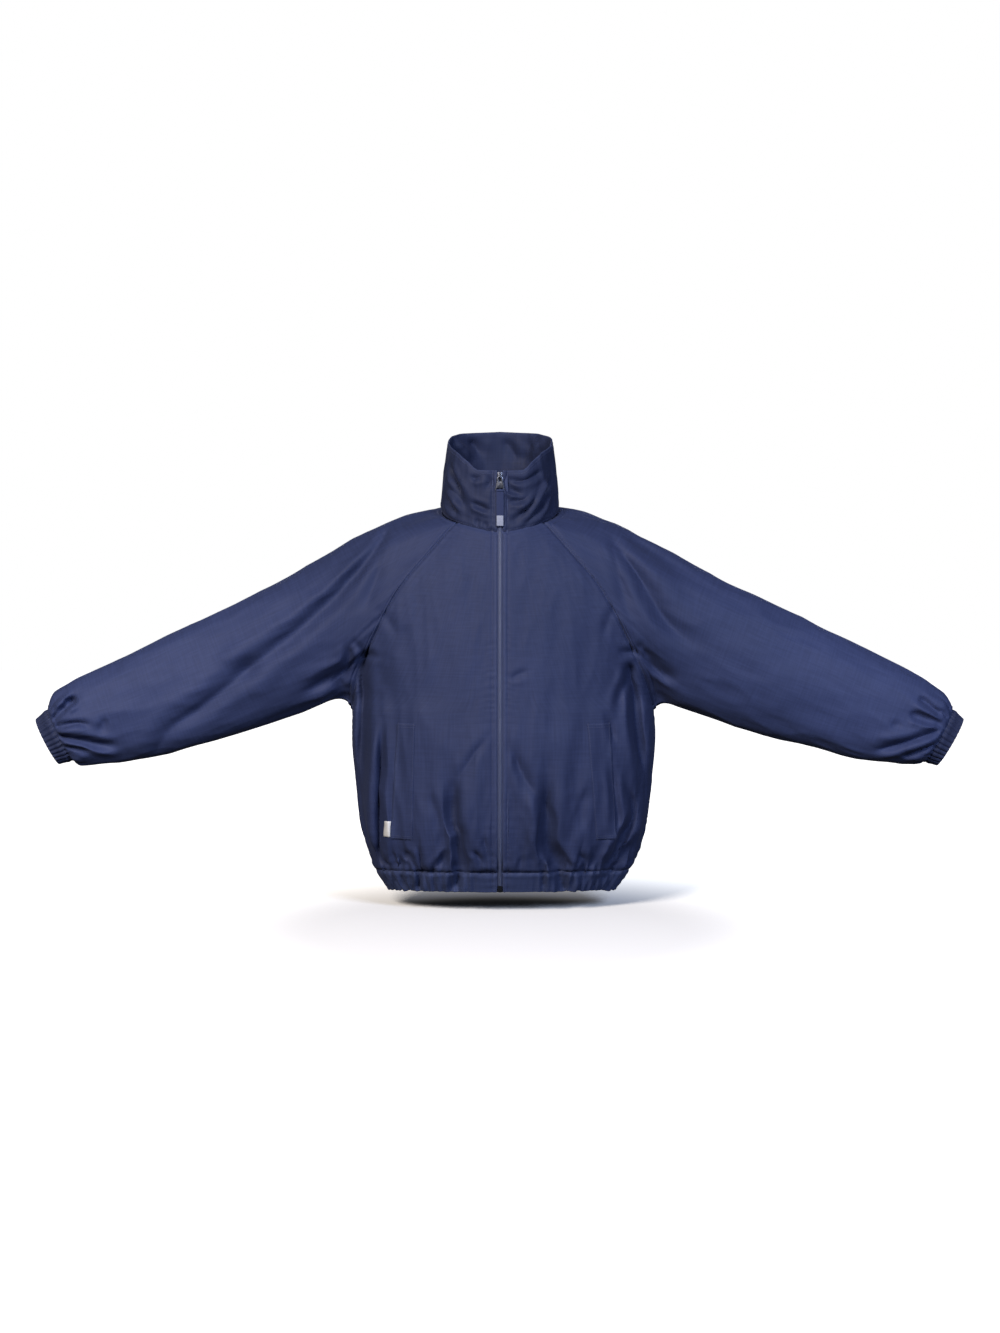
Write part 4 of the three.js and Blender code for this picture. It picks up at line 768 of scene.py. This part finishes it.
# The same nylon drawn up over elastic, a little duller, in a lighter tone that is painted light on the hem band
BAND_NYLON_PAINTED_LIGHT = woven("navy_nylon_over_elastic_painted_light", "28304b", "303856", "3c4462", 1.3, 0.64, 0.04, crinkle_mm=0.05)
# Knitted zip tape in a paler violet grey, matt
TAPE = woven("zip_tape_knitted", "30364f", "383e58", "434960", 0.9, 0.75, 0.05, crinkle_mm=0.03)
# Polyester coil, extruded and smooth, slightly glossy
COIL = plain("zip_coil_extruded", "444b64", 0.4, grain_and_glint_mm=0.5, second="50576f")
# Spun polyester thread
THREAD = plain("navy_thread_spun", "252c49", 0.7, grain_and_glint_mm=0.3, second="2f3655")
# Zinc alloy with a dark plated finish; its brighter spots are painted glints
METAL_PAINTED_GLINTS = plain("zinc_dark_plated_painted_glints", "24262f", 0.3, metallic=1.0, grain_and_glint_mm=1.4, depth_mm=0.02, second="757985")
# Pale tape at the end of the pull, woven flat
PATCH = plain("grey_tape_woven", "565b70", 0.7, grain_and_glint_mm=1.5, depth_mm=0.05, second="8e92a0")
# White satin label, plain
LABEL_WHITE = plain("white_satin_label", "b4b2b0", 0.6, grain_and_glint_mm=1.2, depth_mm=0.03, second="c8c6c4")


# The sewn pieces
def front_panels():
    pieces = {}
    for side, name in ((-1, "right"), (1, "left")):
        us = evenly(lambda u: panel_base(FRONT_ROWS, side, u, np.full_like(u, 4.0))[0], 0, 1, PITCH, CLOSER, CLOSE)
        for part, low, high, material, slot, thick in (
            ("front", BAND_TOP, NECK_ROW, NYLON, "nylon", SHELL),
            ("hem_front", 0, BAND_TOP, BAND_NYLON_PAINTED_LIGHT, "elastic_band", BAND_SHELL),
        ):
            rows = evenly(lambda r: panel_base(FRONT_ROWS, side, np.full_like(r, 0.4), r)[0], low, high, PITCH)
            points = panel_point(FRONT_ROWS, side, us[None, :], rows[:, None])
            edges = ("low", "high", "end") if part == "front" else ("high", "end")
            loose = mix(0.5, 1.3, smoothstep(-points[..., 2], 280, 520))
            points = sewn_down(points, edges, flip=side < 0, seed=11 + side, crumple=loose if part == "front" else 0.2,
                               puff=2.4 if part == "front" else 0, stitched={"start": ZIP_LINES[1]})
            pieces[f"{part}_{name}"] = make_cloth(
                f"shell_{part}_{name}", points, material, [f"{part}_{name}"], flip=side < 0, thick=thick,
                sewn=" ".join(edges), free="start")
    return pieces


def back_panels():
    pieces = {}
    us = evenly(lambda u: back_point(u, np.full_like(u, 4.0)), 0, 1, PITCH + 0.6)
    for part, low, high, material, slot, thick in (
        ("back", BAND_TOP, NECK_ROW, NYLON, "nylon", SHELL),
        ("hem_back", 0, BAND_TOP, BAND_NYLON_PAINTED_LIGHT, "elastic_band", BAND_SHELL),
    ):
        rows = evenly(lambda r: back_point(np.full_like(r, 0.3), r), low, high, PITCH + 0.6)
        points = back_point(us[None, :], rows[:, None])
        edges = ("low", "high", "start", "end") if part == "back" else ("high", "start", "end")
        loose = mix(0.6, 1.3, smoothstep(-points[..., 2], 280, 520))
        points = sewn_down(points, edges, seed=31, crumple=loose if part == "back" else 0.2, puff=2.4 if part == "back" else 0)
        pieces[part] = make_cloth(f"shell_{part}", points, material, [part], thick=thick, sewn=" ".join(edges))
    return pieces


def sleeves():
    pieces = {}
    around = np.arange(150) / 150
    for side, name in ((-1, "right"), (1, "left")):
        loft = evenly(lambda a: sleeve_point(side, np.full_like(a, 0.3), a), 0, 1, PITCH, CLOSER, ())
        arm = evenly(lambda a: ring_point(side, np.full_like(a, 0.5), a), 1, CUFF_SEAM, PITCH, (), CLOSE)
        along = np.concatenate([loft[:-1], arm])
        points = sleeve_point(side, around[None, :], along[:, None])
        points = sewn_down(points, ("low", "high"), True, side > 0, seed=51 + side, grain=(1, 0, -0.4 * side),
                           stitched={"low": RAGLAN_LINES[1]}, crumple=0.7, pucker=0.9)
        pieces[f"sleeve_{name}"] = make_cloth(
            f"shell_sleeve_{name}", points, NYLON, [f"sleeve_{name}"], True, side > 0, sewn="low high")
        ends = evenly(lambda a: ring_point(side, np.full_like(a, 0.5), a), CUFF_SEAM, CUFF_END, 2.6)
        turns = np.arange(288) / 288
        points = ring_point(side, turns[None, :], ends[:, None], cuff_rib(turns)[None, :])
        points = sewn_down(points, ("low",), True, side > 0, seed=61 + side, pucker=0.2, crumple=0.12)
        pieces[f"cuff_{name}"] = make_cloth(
            f"band_cuff_{name}", points, DARKER_NYLON_PAINTED_SHADE, [f"cuff_{name}"], True, side > 0, BAND_SHELL, "low", "high")
    return pieces


def collar():
    edge = math.degrees(math.asin(ZIP_OPENING / NECK["half_width"]))
    turns = evenly(lambda t: collar_point(t, 0.5), edge, 360 - edge, PITCH - 0.2, CLOSER, CLOSER)
    heights = evenly(lambda h: collar_point(np.full_like(h, 90), h), 0, 1, PITCH - 0.2)
    points = collar_point(turns[None, :], heights[:, None])
    up = run(points, 0)
    flat = np.stack([np.broadcast_to(turns[None, :] * 1.45, up.shape), up], -1).reshape(-1, 2)
    creases = [c._replace(path=[(turn * 1.45, height) for turn, height in c.path]) for c in COLLAR_CREASES]
    calm = smoothstep(up[-1] - up, 2, 20)
    points = points - facing(points) * (calm * crease_depth(flat, creases).reshape(up.shape))[..., None]
    points = sewn_down(points, ("low",), seed=71, crumple=0.9, stitched={"start": ZIP_LINES[1], "end": ZIP_LINES[1]})
    return {"collar": make_cloth("shell_collar", points, DARKER_NYLON_PAINTED_SHADE, ["collar"], thick=COLLAR_SHELL, sewn="low", free="high start end")}


cloths = {**front_panels(), **back_panels(), **sleeves(), **collar()}


# Patches that lie on the front
def surface_tree(*names):
    vertices, faces = [], []
    for name in names:
        mesh = cloths[name].object.data
        first = len(vertices)
        vertices += [v.co.copy() for v in mesh.vertices]
        faces += [[first + k for k in polygon.vertices] for polygon in mesh.polygons]
    return BVHTree.FromPolygons(vertices, faces)


def dropped(tree, x, z):
    """Where lines from the front meet the cloth."""
    hits = [tree.ray_cast(Vector((a * MM, -1, b * MM)), Vector((0, 1, 0))) for a, b in zip(x.ravel(), z.ravel())]
    points = np.array([hit[0] if hit[0] else (np.nan,) * 3 for hit in hits]) / MM
    return points.reshape(*x.shape, 3)


def patch_grid(shape, columns, rows):
    u, v = np.meshgrid(np.linspace(0, 1, columns), np.linspace(0, 1, rows))
    inner, outer = mix(shape.in_foot, shape.in_top, v), mix(shape.out_foot, shape.out_top, v)
    return u, v, shape.side * mix(inner, outer, u), mix(shape.foot_z, shape.top_z, v)


def pockets():
    pieces = {}
    for name, shape in WELTS.items():
        tree = surface_tree(f"front_{name}")
        u, v, x, z = patch_grid(shape, 13, 66)
        skin = dropped(tree, x, z)
        out = unit(skin / np.array([BODY["half_width"] ** 2, BODY["half_depth"] ** 2, 1e9]))
        # The welt bridges the small hollows under it, and its opening edge stands a little proud.
        low = skin.copy()
        for _ in range(6):
            low[1:-1] = (low[:-2] + 2 * low[1:-1] + low[2:]) / 4
        over = np.maximum(((skin - low) * out).sum(-1), 0)
        rise = 0.9 + over + 0.7 * u**2 + 0.25 * np.sin(17 * v + 3 * u)
        points = low + out * rise[..., None]
        flip = shape.side < 0
        pieces[f"welt_{name}"] = make_cloth(
            f"pocket_welt_cloth_{name}", points, NYLON, [f"pocket_welt_{name}"], flip=flip, thick=1.1, free="end")
    tree = surface_tree("front_right")
    u, v, x, z = patch_grid(LABEL, 6, 12)
    skin = dropped(tree, x, z)
    out = unit(skin / np.array([BODY["half_width"] ** 2, BODY["half_depth"] ** 2, 1e9]))
    points = skin + out * (1.1 + 0.5 * np.sin(3 * v + u))[..., None]
    pieces["label"] = make_cloth("label_blank", points, LABEL_WHITE, ["label"], flip=True, thick=0.5)
    return pieces


cloths.update(pockets())


# The zip
TAPE_BACK = 2.1  # the tape lies this far behind the front edges
TAPE_TO = 13


def front_line(x, place):
    """The zip's line at a distance from the centre, on the body or the collar."""
    x, place = np.broadcast_arrays(np.asarray(x, float), np.asarray(place, float))
    side = np.sign(x)
    row = np.minimum(place, NECK_ROW)
    arc = np.radians(column(FRONT_ROWS, "arc", row))
    reach = column(FRONT_ROWS, "side_x", row) / np.sin(arc)
    start = np.arcsin(ZIP_OPENING / reach)
    u = (np.arcsin(np.abs(x) / reach) - start) / (arc - start)
    body = panel_flat(FRONT_ROWS, side, u, row)[0]
    stand = collar_point(side * np.degrees(np.arcsin(np.abs(x) / NECK["half_width"])) % 360, np.maximum(place - NECK_ROW, 0))
    return np.where((place > NECK_ROW)[..., None], stand, body)


def zip_places(pitch):
    body = evenly(lambda r: panel_base(FRONT_ROWS, 1, np.zeros_like(r), r)[0], 0, NECK_ROW, pitch, (), ())
    stand = evenly(lambda h: collar_point(np.zeros_like(h), h), 0, 0.94, pitch, (), ())
    return np.concatenate([body, NECK_ROW + stand[1:]])


def zip_tapes():
    places = zip_places(4)
    across = np.array([0.2, 1.0, 2.0, 2.6, 4, 6, 9, TAPE_TO])
    rise = np.array([1.2, 1.3, 1.1, 0.5, 0, 0, 0, 0])
    for side, name in ((-1, "right"), (1, "left")):
        points = front_line(side * across[None, :], places[:, None])
        points[..., 1] += TAPE_BACK - rise
        make_cloth(f"zip_tape_knit_{name}", points, TAPE, [f"zip_tape_{name}"], flip=side < 0, thick=0.9)


zip_tapes()


# Stitches and zip teeth, laid along lines by Geometry Nodes
def line_near(cloth, edge, distance, share=(0, 1), lift=0.1):
    """A line on a piece of cloth at a distance from one of its edges."""
    points, normals = cloth.points, cloth.normals
    if edge in ("start", "end"):
        points, normals = points.transpose(1, 0, 2), normals.transpose(1, 0, 2)
    if edge in ("high", "end"):
        points, normals = points[::-1], normals[::-1]
    length = run(points, 0)
    line = []
    for k in range(points.shape[1]):
        place = np.interp(distance, length[:, k], np.arange(len(points)))
        low = min(int(place), len(points) - 2)
        f = place - low
        point, normal = mix(points[low, k], points[low + 1, k], f), mix(normals[low, k], normals[low + 1, k], f)
        line.append(point + unit(normal) * lift)
    line = np.array(line)
    if cloth.closed and edge in ("low", "high"):
        line = np.vstack([line, line[:1]])
    first, last = int(share[0] * (len(line) - 1)), int(share[1] * (len(line) - 1))
    return line[first : last + 1]


def lines_object(name, lines):
    """Poly curves through lists of points."""
    curve = bpy.data.curves.new(name, "CURVE")
    curve.dimensions = "3D"
    for line in lines:
        spline = curve.splines.new("POLY")
        spline.points.add(len(line) - 1)
        spline.points.foreach_set("co", np.concatenate([line * MM, np.ones((len(line), 1))], 1).astype(np.float32).ravel())
    piece = bpy.data.objects.new(name, curve)
    bpy.context.scene.collection.objects.link(piece)
    return piece


def repeat_tree(name, material, shape):
    """Repeats a small shape along curves at a pitch. Inputs are in metres."""
    tree = bpy.data.node_groups.new(name, "GeometryNodeTree")
    tree.interface.new_socket("Lines", in_out="INPUT", socket_type="NodeSocketGeometry")
    sockets = {}
    for label in ("Pitch", "Length", "Radius", "Width"):
        sockets[label] = tree.interface.new_socket(label, in_out="INPUT", socket_type="NodeSocketFloat").identifier
    tree.interface.new_socket("Pieces", in_out="OUTPUT", socket_type="NodeSocketGeometry")
    given = add(tree, "NodeGroupInput").outputs
    spaced = add(tree, "GeometryNodeResampleCurve", {"Curve": given["Lines"], "Length": given["Pitch"]}, mode="LENGTH")
    tangent = add(tree, "GeometryNodeInputTangent")
    turn = add(tree, "FunctionNodeAlignRotationToVector", {"Vector": tangent.outputs[0]}, axis="Z")
    if shape == "stitch":
        bar = add(tree, "GeometryNodeMeshCylinder", {"Vertices": 6, "Side Segments": 2, "Radius": given["Radius"], "Depth": given["Length"]}, fill_type="TRIANGLE_FAN").outputs["Mesh"]
    else:
        size = add(tree, "ShaderNodeCombineXYZ", {"X": given["Width"], "Y": given["Radius"], "Z": given["Length"]})
        bar = add(tree, "GeometryNodeMeshCube", {"Size": size.outputs[0]}).outputs["Mesh"]
    laid = add(tree, "GeometryNodeInstanceOnPoints", {"Points": spaced.outputs[0], "Instance": bar, "Rotation": turn.outputs[0]})
    real = add(tree, "GeometryNodeRealizeInstances", {0: laid.outputs[0]})
    dressed = add(tree, "GeometryNodeSetMaterial", {0: real.outputs[0], "Material": material})
    add(tree, "NodeGroupOutput", {0: dressed.outputs[0]})
    return tree, sockets


def repeated(name, lines, material, slot, shape, **sizes):
    """The lines with their stitches or teeth as one plain mesh."""
    curves = lines_object(name + "_lines", lines)
    tree, sockets = repeat_tree(name + "_tree", material, shape)
    modifier = curves.modifiers.new("repeat", "NODES")
    modifier.node_group = tree
    for label, value in sizes.items():
        modifier[sockets[label]] = value * MM
    mesh = bpy.data.meshes.new_from_object(curves.evaluated_get(bpy.context.evaluated_depsgraph_get()))
    bpy.data.objects.remove(curves)
    mesh.name = name
    piece = bpy.data.objects.new(name, mesh)
    bpy.context.scene.collection.objects.link(piece)
    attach(piece, "jacket")
    return piece


def topstitching():
    lines = []
    for name in ("right", "left"):
        sleeve = cloths[f"sleeve_{name}"]
        for distance in RAGLAN_LINES:
            lines += [line_near(sleeve, "low", distance, (0.012, SEAM_SHARE - 0.004)), line_near(sleeve, "low", distance, (1 - SEAM_SHARE + 0.004, 0.988))]
        for distance in ZIP_LINES:
            lines += [line_near(cloths[f"front_{name}"], "start", distance), line_near(cloths[f"hem_front_{name}"], "start", distance)]
        lines.append(line_near(cloths[f"hem_front_{name}"], "high", 3))
        lines.append(line_near(cloths[f"cuff_{name}"], "low", 3))
        welt = cloths[f"welt_{name}"]
        lines += [line_near(welt, "start", 1.6), line_near(welt, "end", 2), line_near(welt, "low", 1.8), line_near(welt, "high", 1.8), line_near(welt, "low", 5.5), line_near(welt, "high", 5.5)]
    lines.append(line_near(cloths["hem_back"], "high", 3))
    stand = cloths["collar"]
    lines += [line_near(stand, "low", 3), line_near(stand, "high", 5)]
    lines += [line_near(stand, edge, distance) for edge in ("start", "end") for distance in ZIP_LINES]
    pitch = STITCH["length"] + STITCH["gap"]
    repeated("topstitching", lines, THREAD, "nylon", "stitch", Pitch=pitch, Length=STITCH["length"], Radius=STITCH["radius"])


def zip_coil():
    places = zip_places(3)
    lines = []
    for side in (-1, 1):
        line = front_line(np.full_like(places, side * 1.05), places)
        line[:, 1] += TAPE_BACK - 1.5
        lines.append(line)
    repeated("zip_coil", lines, COIL, "zip_tape", "tooth", Pitch=TOOTH["pitch"], Length=TOOTH["long"], Radius=TOOTH["tall"], Width=TOOTH["wide"])


topstitching()
zip_coil()


# Hard parts and the pull, from the solids
def from_solid(name, node, material, body, bevel_mm):
    """The solid's own shape with its doubled points merged and its edges rounded."""
    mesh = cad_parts[node].data.copy()
    mesh.name = name
    work = bmesh.new()
    work.from_mesh(mesh)
    bmesh.ops.remove_doubles(work, verts=work.verts, dist=1e-6)
    bmesh.ops.dissolve_limit(work, angle_limit=math.radians(2), verts=work.verts, edges=work.edges)
    sharp = [e for e in work.edges if len(e.link_faces) == 2 and e.calc_face_angle(0) > math.radians(35)]
    bmesh.ops.bevel(work, geom=sharp, offset=bevel_mm * MM, segments=2, affect="EDGES", profile=0.6, clamp_overlap=True)
    work.to_mesh(mesh)
    work.free()
    mesh.materials.clear()
    mesh.materials.append(material)
    mesh.polygons.foreach_set("use_smooth", np.ones(len(mesh.polygons), bool))
    mesh.set_sharp_from_angle(angle=math.radians(40))
    piece = bpy.data.objects.new(name, mesh)
    bpy.context.scene.collection.objects.link(piece)
    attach(piece, body)
    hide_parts(node)
    return piece


from_solid("slider_plated", "zip_slider", METAL_PAINTED_GLINTS, "jacket", 0.28)
from_solid("zip_box_plated", "zip_box", METAL_PAINTED_GLINTS, "jacket", 0.25)
from_solid("pull_link_plated", "pull_link", METAL_PAINTED_GLINTS, "pull", 0.28)
ribbon = from_solid("pull_ribbon_cloth", "pull_ribbon", NYLON, "pull", 0.2)
end_patch = from_solid("pull_end_patch", "pull_patch", PATCH, "pull", 0.12)

# Floor, light and camera
floor_mesh = bpy.data.meshes.new("floor")
floor_mesh.from_pydata([(-6, -6, FLOOR_Z * MM), (6, -6, FLOOR_Z * MM), (6, 6, FLOOR_Z * MM), (-6, 6, FLOOR_Z * MM)], [], [(0, 1, 2, 3)])
floor = bpy.data.objects.new("floor", floor_mesh)
bpy.context.scene.collection.objects.link(floor)
# White paper with painted light: it glows more the further it lies from the jacket, so that it runs into the backdrop
# without a horizon
paper, tree = new_material("studio_paper_white_painted_glow")
at = add(tree, "ShaderNodeTexCoord")
spread = add(tree, "ShaderNodeVectorMath", {0: at.outputs["Object"], 1: (3.0, 2.4, 0), 2: (0, 0.72, 0)}, operation="MULTIPLY_ADD")
radius = add(tree, "ShaderNodeVectorMath", {0: spread.outputs["Vector"]}, operation="LENGTH")
glow = add(tree, "ShaderNodeMapRange", {
    "Value": radius.outputs["Value"], "From Min": 0.8, "From Max": 2.1, "To Min": 0.0, "To Max": 1.0,
}, interpolation_type="SMOOTHSTEP")
shader = add(tree, "ShaderNodeBsdfPrincipled", {
    "Base Color": linear("f8f6f2"), "Roughness": 0.9,
    "Emission Color": linear("ffffff"), "Emission Strength": glow.outputs["Result"],
})
add(tree, "ShaderNodeOutputMaterial", {"Surface": shader.outputs[0]})
floor_mesh.materials.append(paper)
floor.visible_diffuse = floor.visible_glossy = False

world = bpy.data.worlds.new("studio")
world.use_nodes = True
world.node_tree.nodes["Background"].inputs["Color"].default_value = linear("f4f6ff")
world.node_tree.nodes["Background"].inputs["Strength"].default_value = 0.08
bpy.context.scene.world = world

# A white cyclorama all round, seen by the camera only: it neither lights nor shades the jacket.
bpy.ops.mesh.primitive_uv_sphere_add(segments=48, ring_count=24, radius=9)
backdrop = bpy.context.object
backdrop.name = "backdrop"
glow, tree = new_material("studio_cyclorama_white")
light = add(tree, "ShaderNodeEmission", {"Color": linear("ffffff"), "Strength": 1.0})
add(tree, "ShaderNodeOutputMaterial", {"Surface": light.outputs[0]})
backdrop.data.materials.append(glow)
for ray in ("diffuse", "glossy", "transmission", "volume_scatter", "shadow"):
    setattr(backdrop, f"visible_{ray}", False)


def soft_box(name, place, aim, size, power, colour):
    light = bpy.data.lights.new(name, "AREA")
    light.shape = "DISK"
    light.size, light.energy, light.color = size, power, linear(colour)[:3]
    lamp = bpy.data.objects.new(name, light)
    lamp.location = place
    lamp.rotation_euler = (Vector(aim) - Vector(place)).to_track_quat("-Z", "Y").to_euler()
    bpy.context.scene.collection.objects.link(lamp)
    return lamp


soft_box("key", (-2.25, -4.5, 2.5), (-0.1, 0, -0.3), 2.0, 425, "fff7f0")
soft_box("fill", (2.3, -4.4, 1.8), (0.1, 0, -0.3), 2.0, 245, "cfdfff")
# Two more light the back, with no glints round the edges, and leave out the floor under the hem
behind = [
    soft_box("back_right", (-1.3, 4.6, 1.7), (0, 0, -0.3), 2.0, 250, "fffaf4"),
    soft_box("back_left", (1.3, 4.6, 1.7), (0, 0, -0.3), 2.0, 250, "e6eeff"),
]
left_out = bpy.data.collections.new("unlit_from_behind")
left_out.objects.link(floor)
left_out.collection_objects[0].light_linking.link_state = "EXCLUDE"
for lamp in behind:
    lamp.light_linking.receiver_collection = left_out
    lamp.visible_glossy = False

camera_data = bpy.data.cameras.new("camera")
camera_data.lens, camera_data.sensor_width, camera_data.sensor_fit = 117, 36, "HORIZONTAL"
camera = bpy.data.objects.new("camera", camera_data)
target, distance, elevation = Vector((0, 0, -0.2504)), 5.2, math.radians(3.5)
camera.location = target + distance * Vector((0, -math.cos(elevation), math.sin(elevation)))
camera.rotation_euler = (target - camera.location).to_track_quat("-Z", "Y").to_euler()
bpy.context.scene.collection.objects.link(camera)
bpy.context.scene.camera = camera
bpy.context.scene.view_settings.view_transform = "Standard"
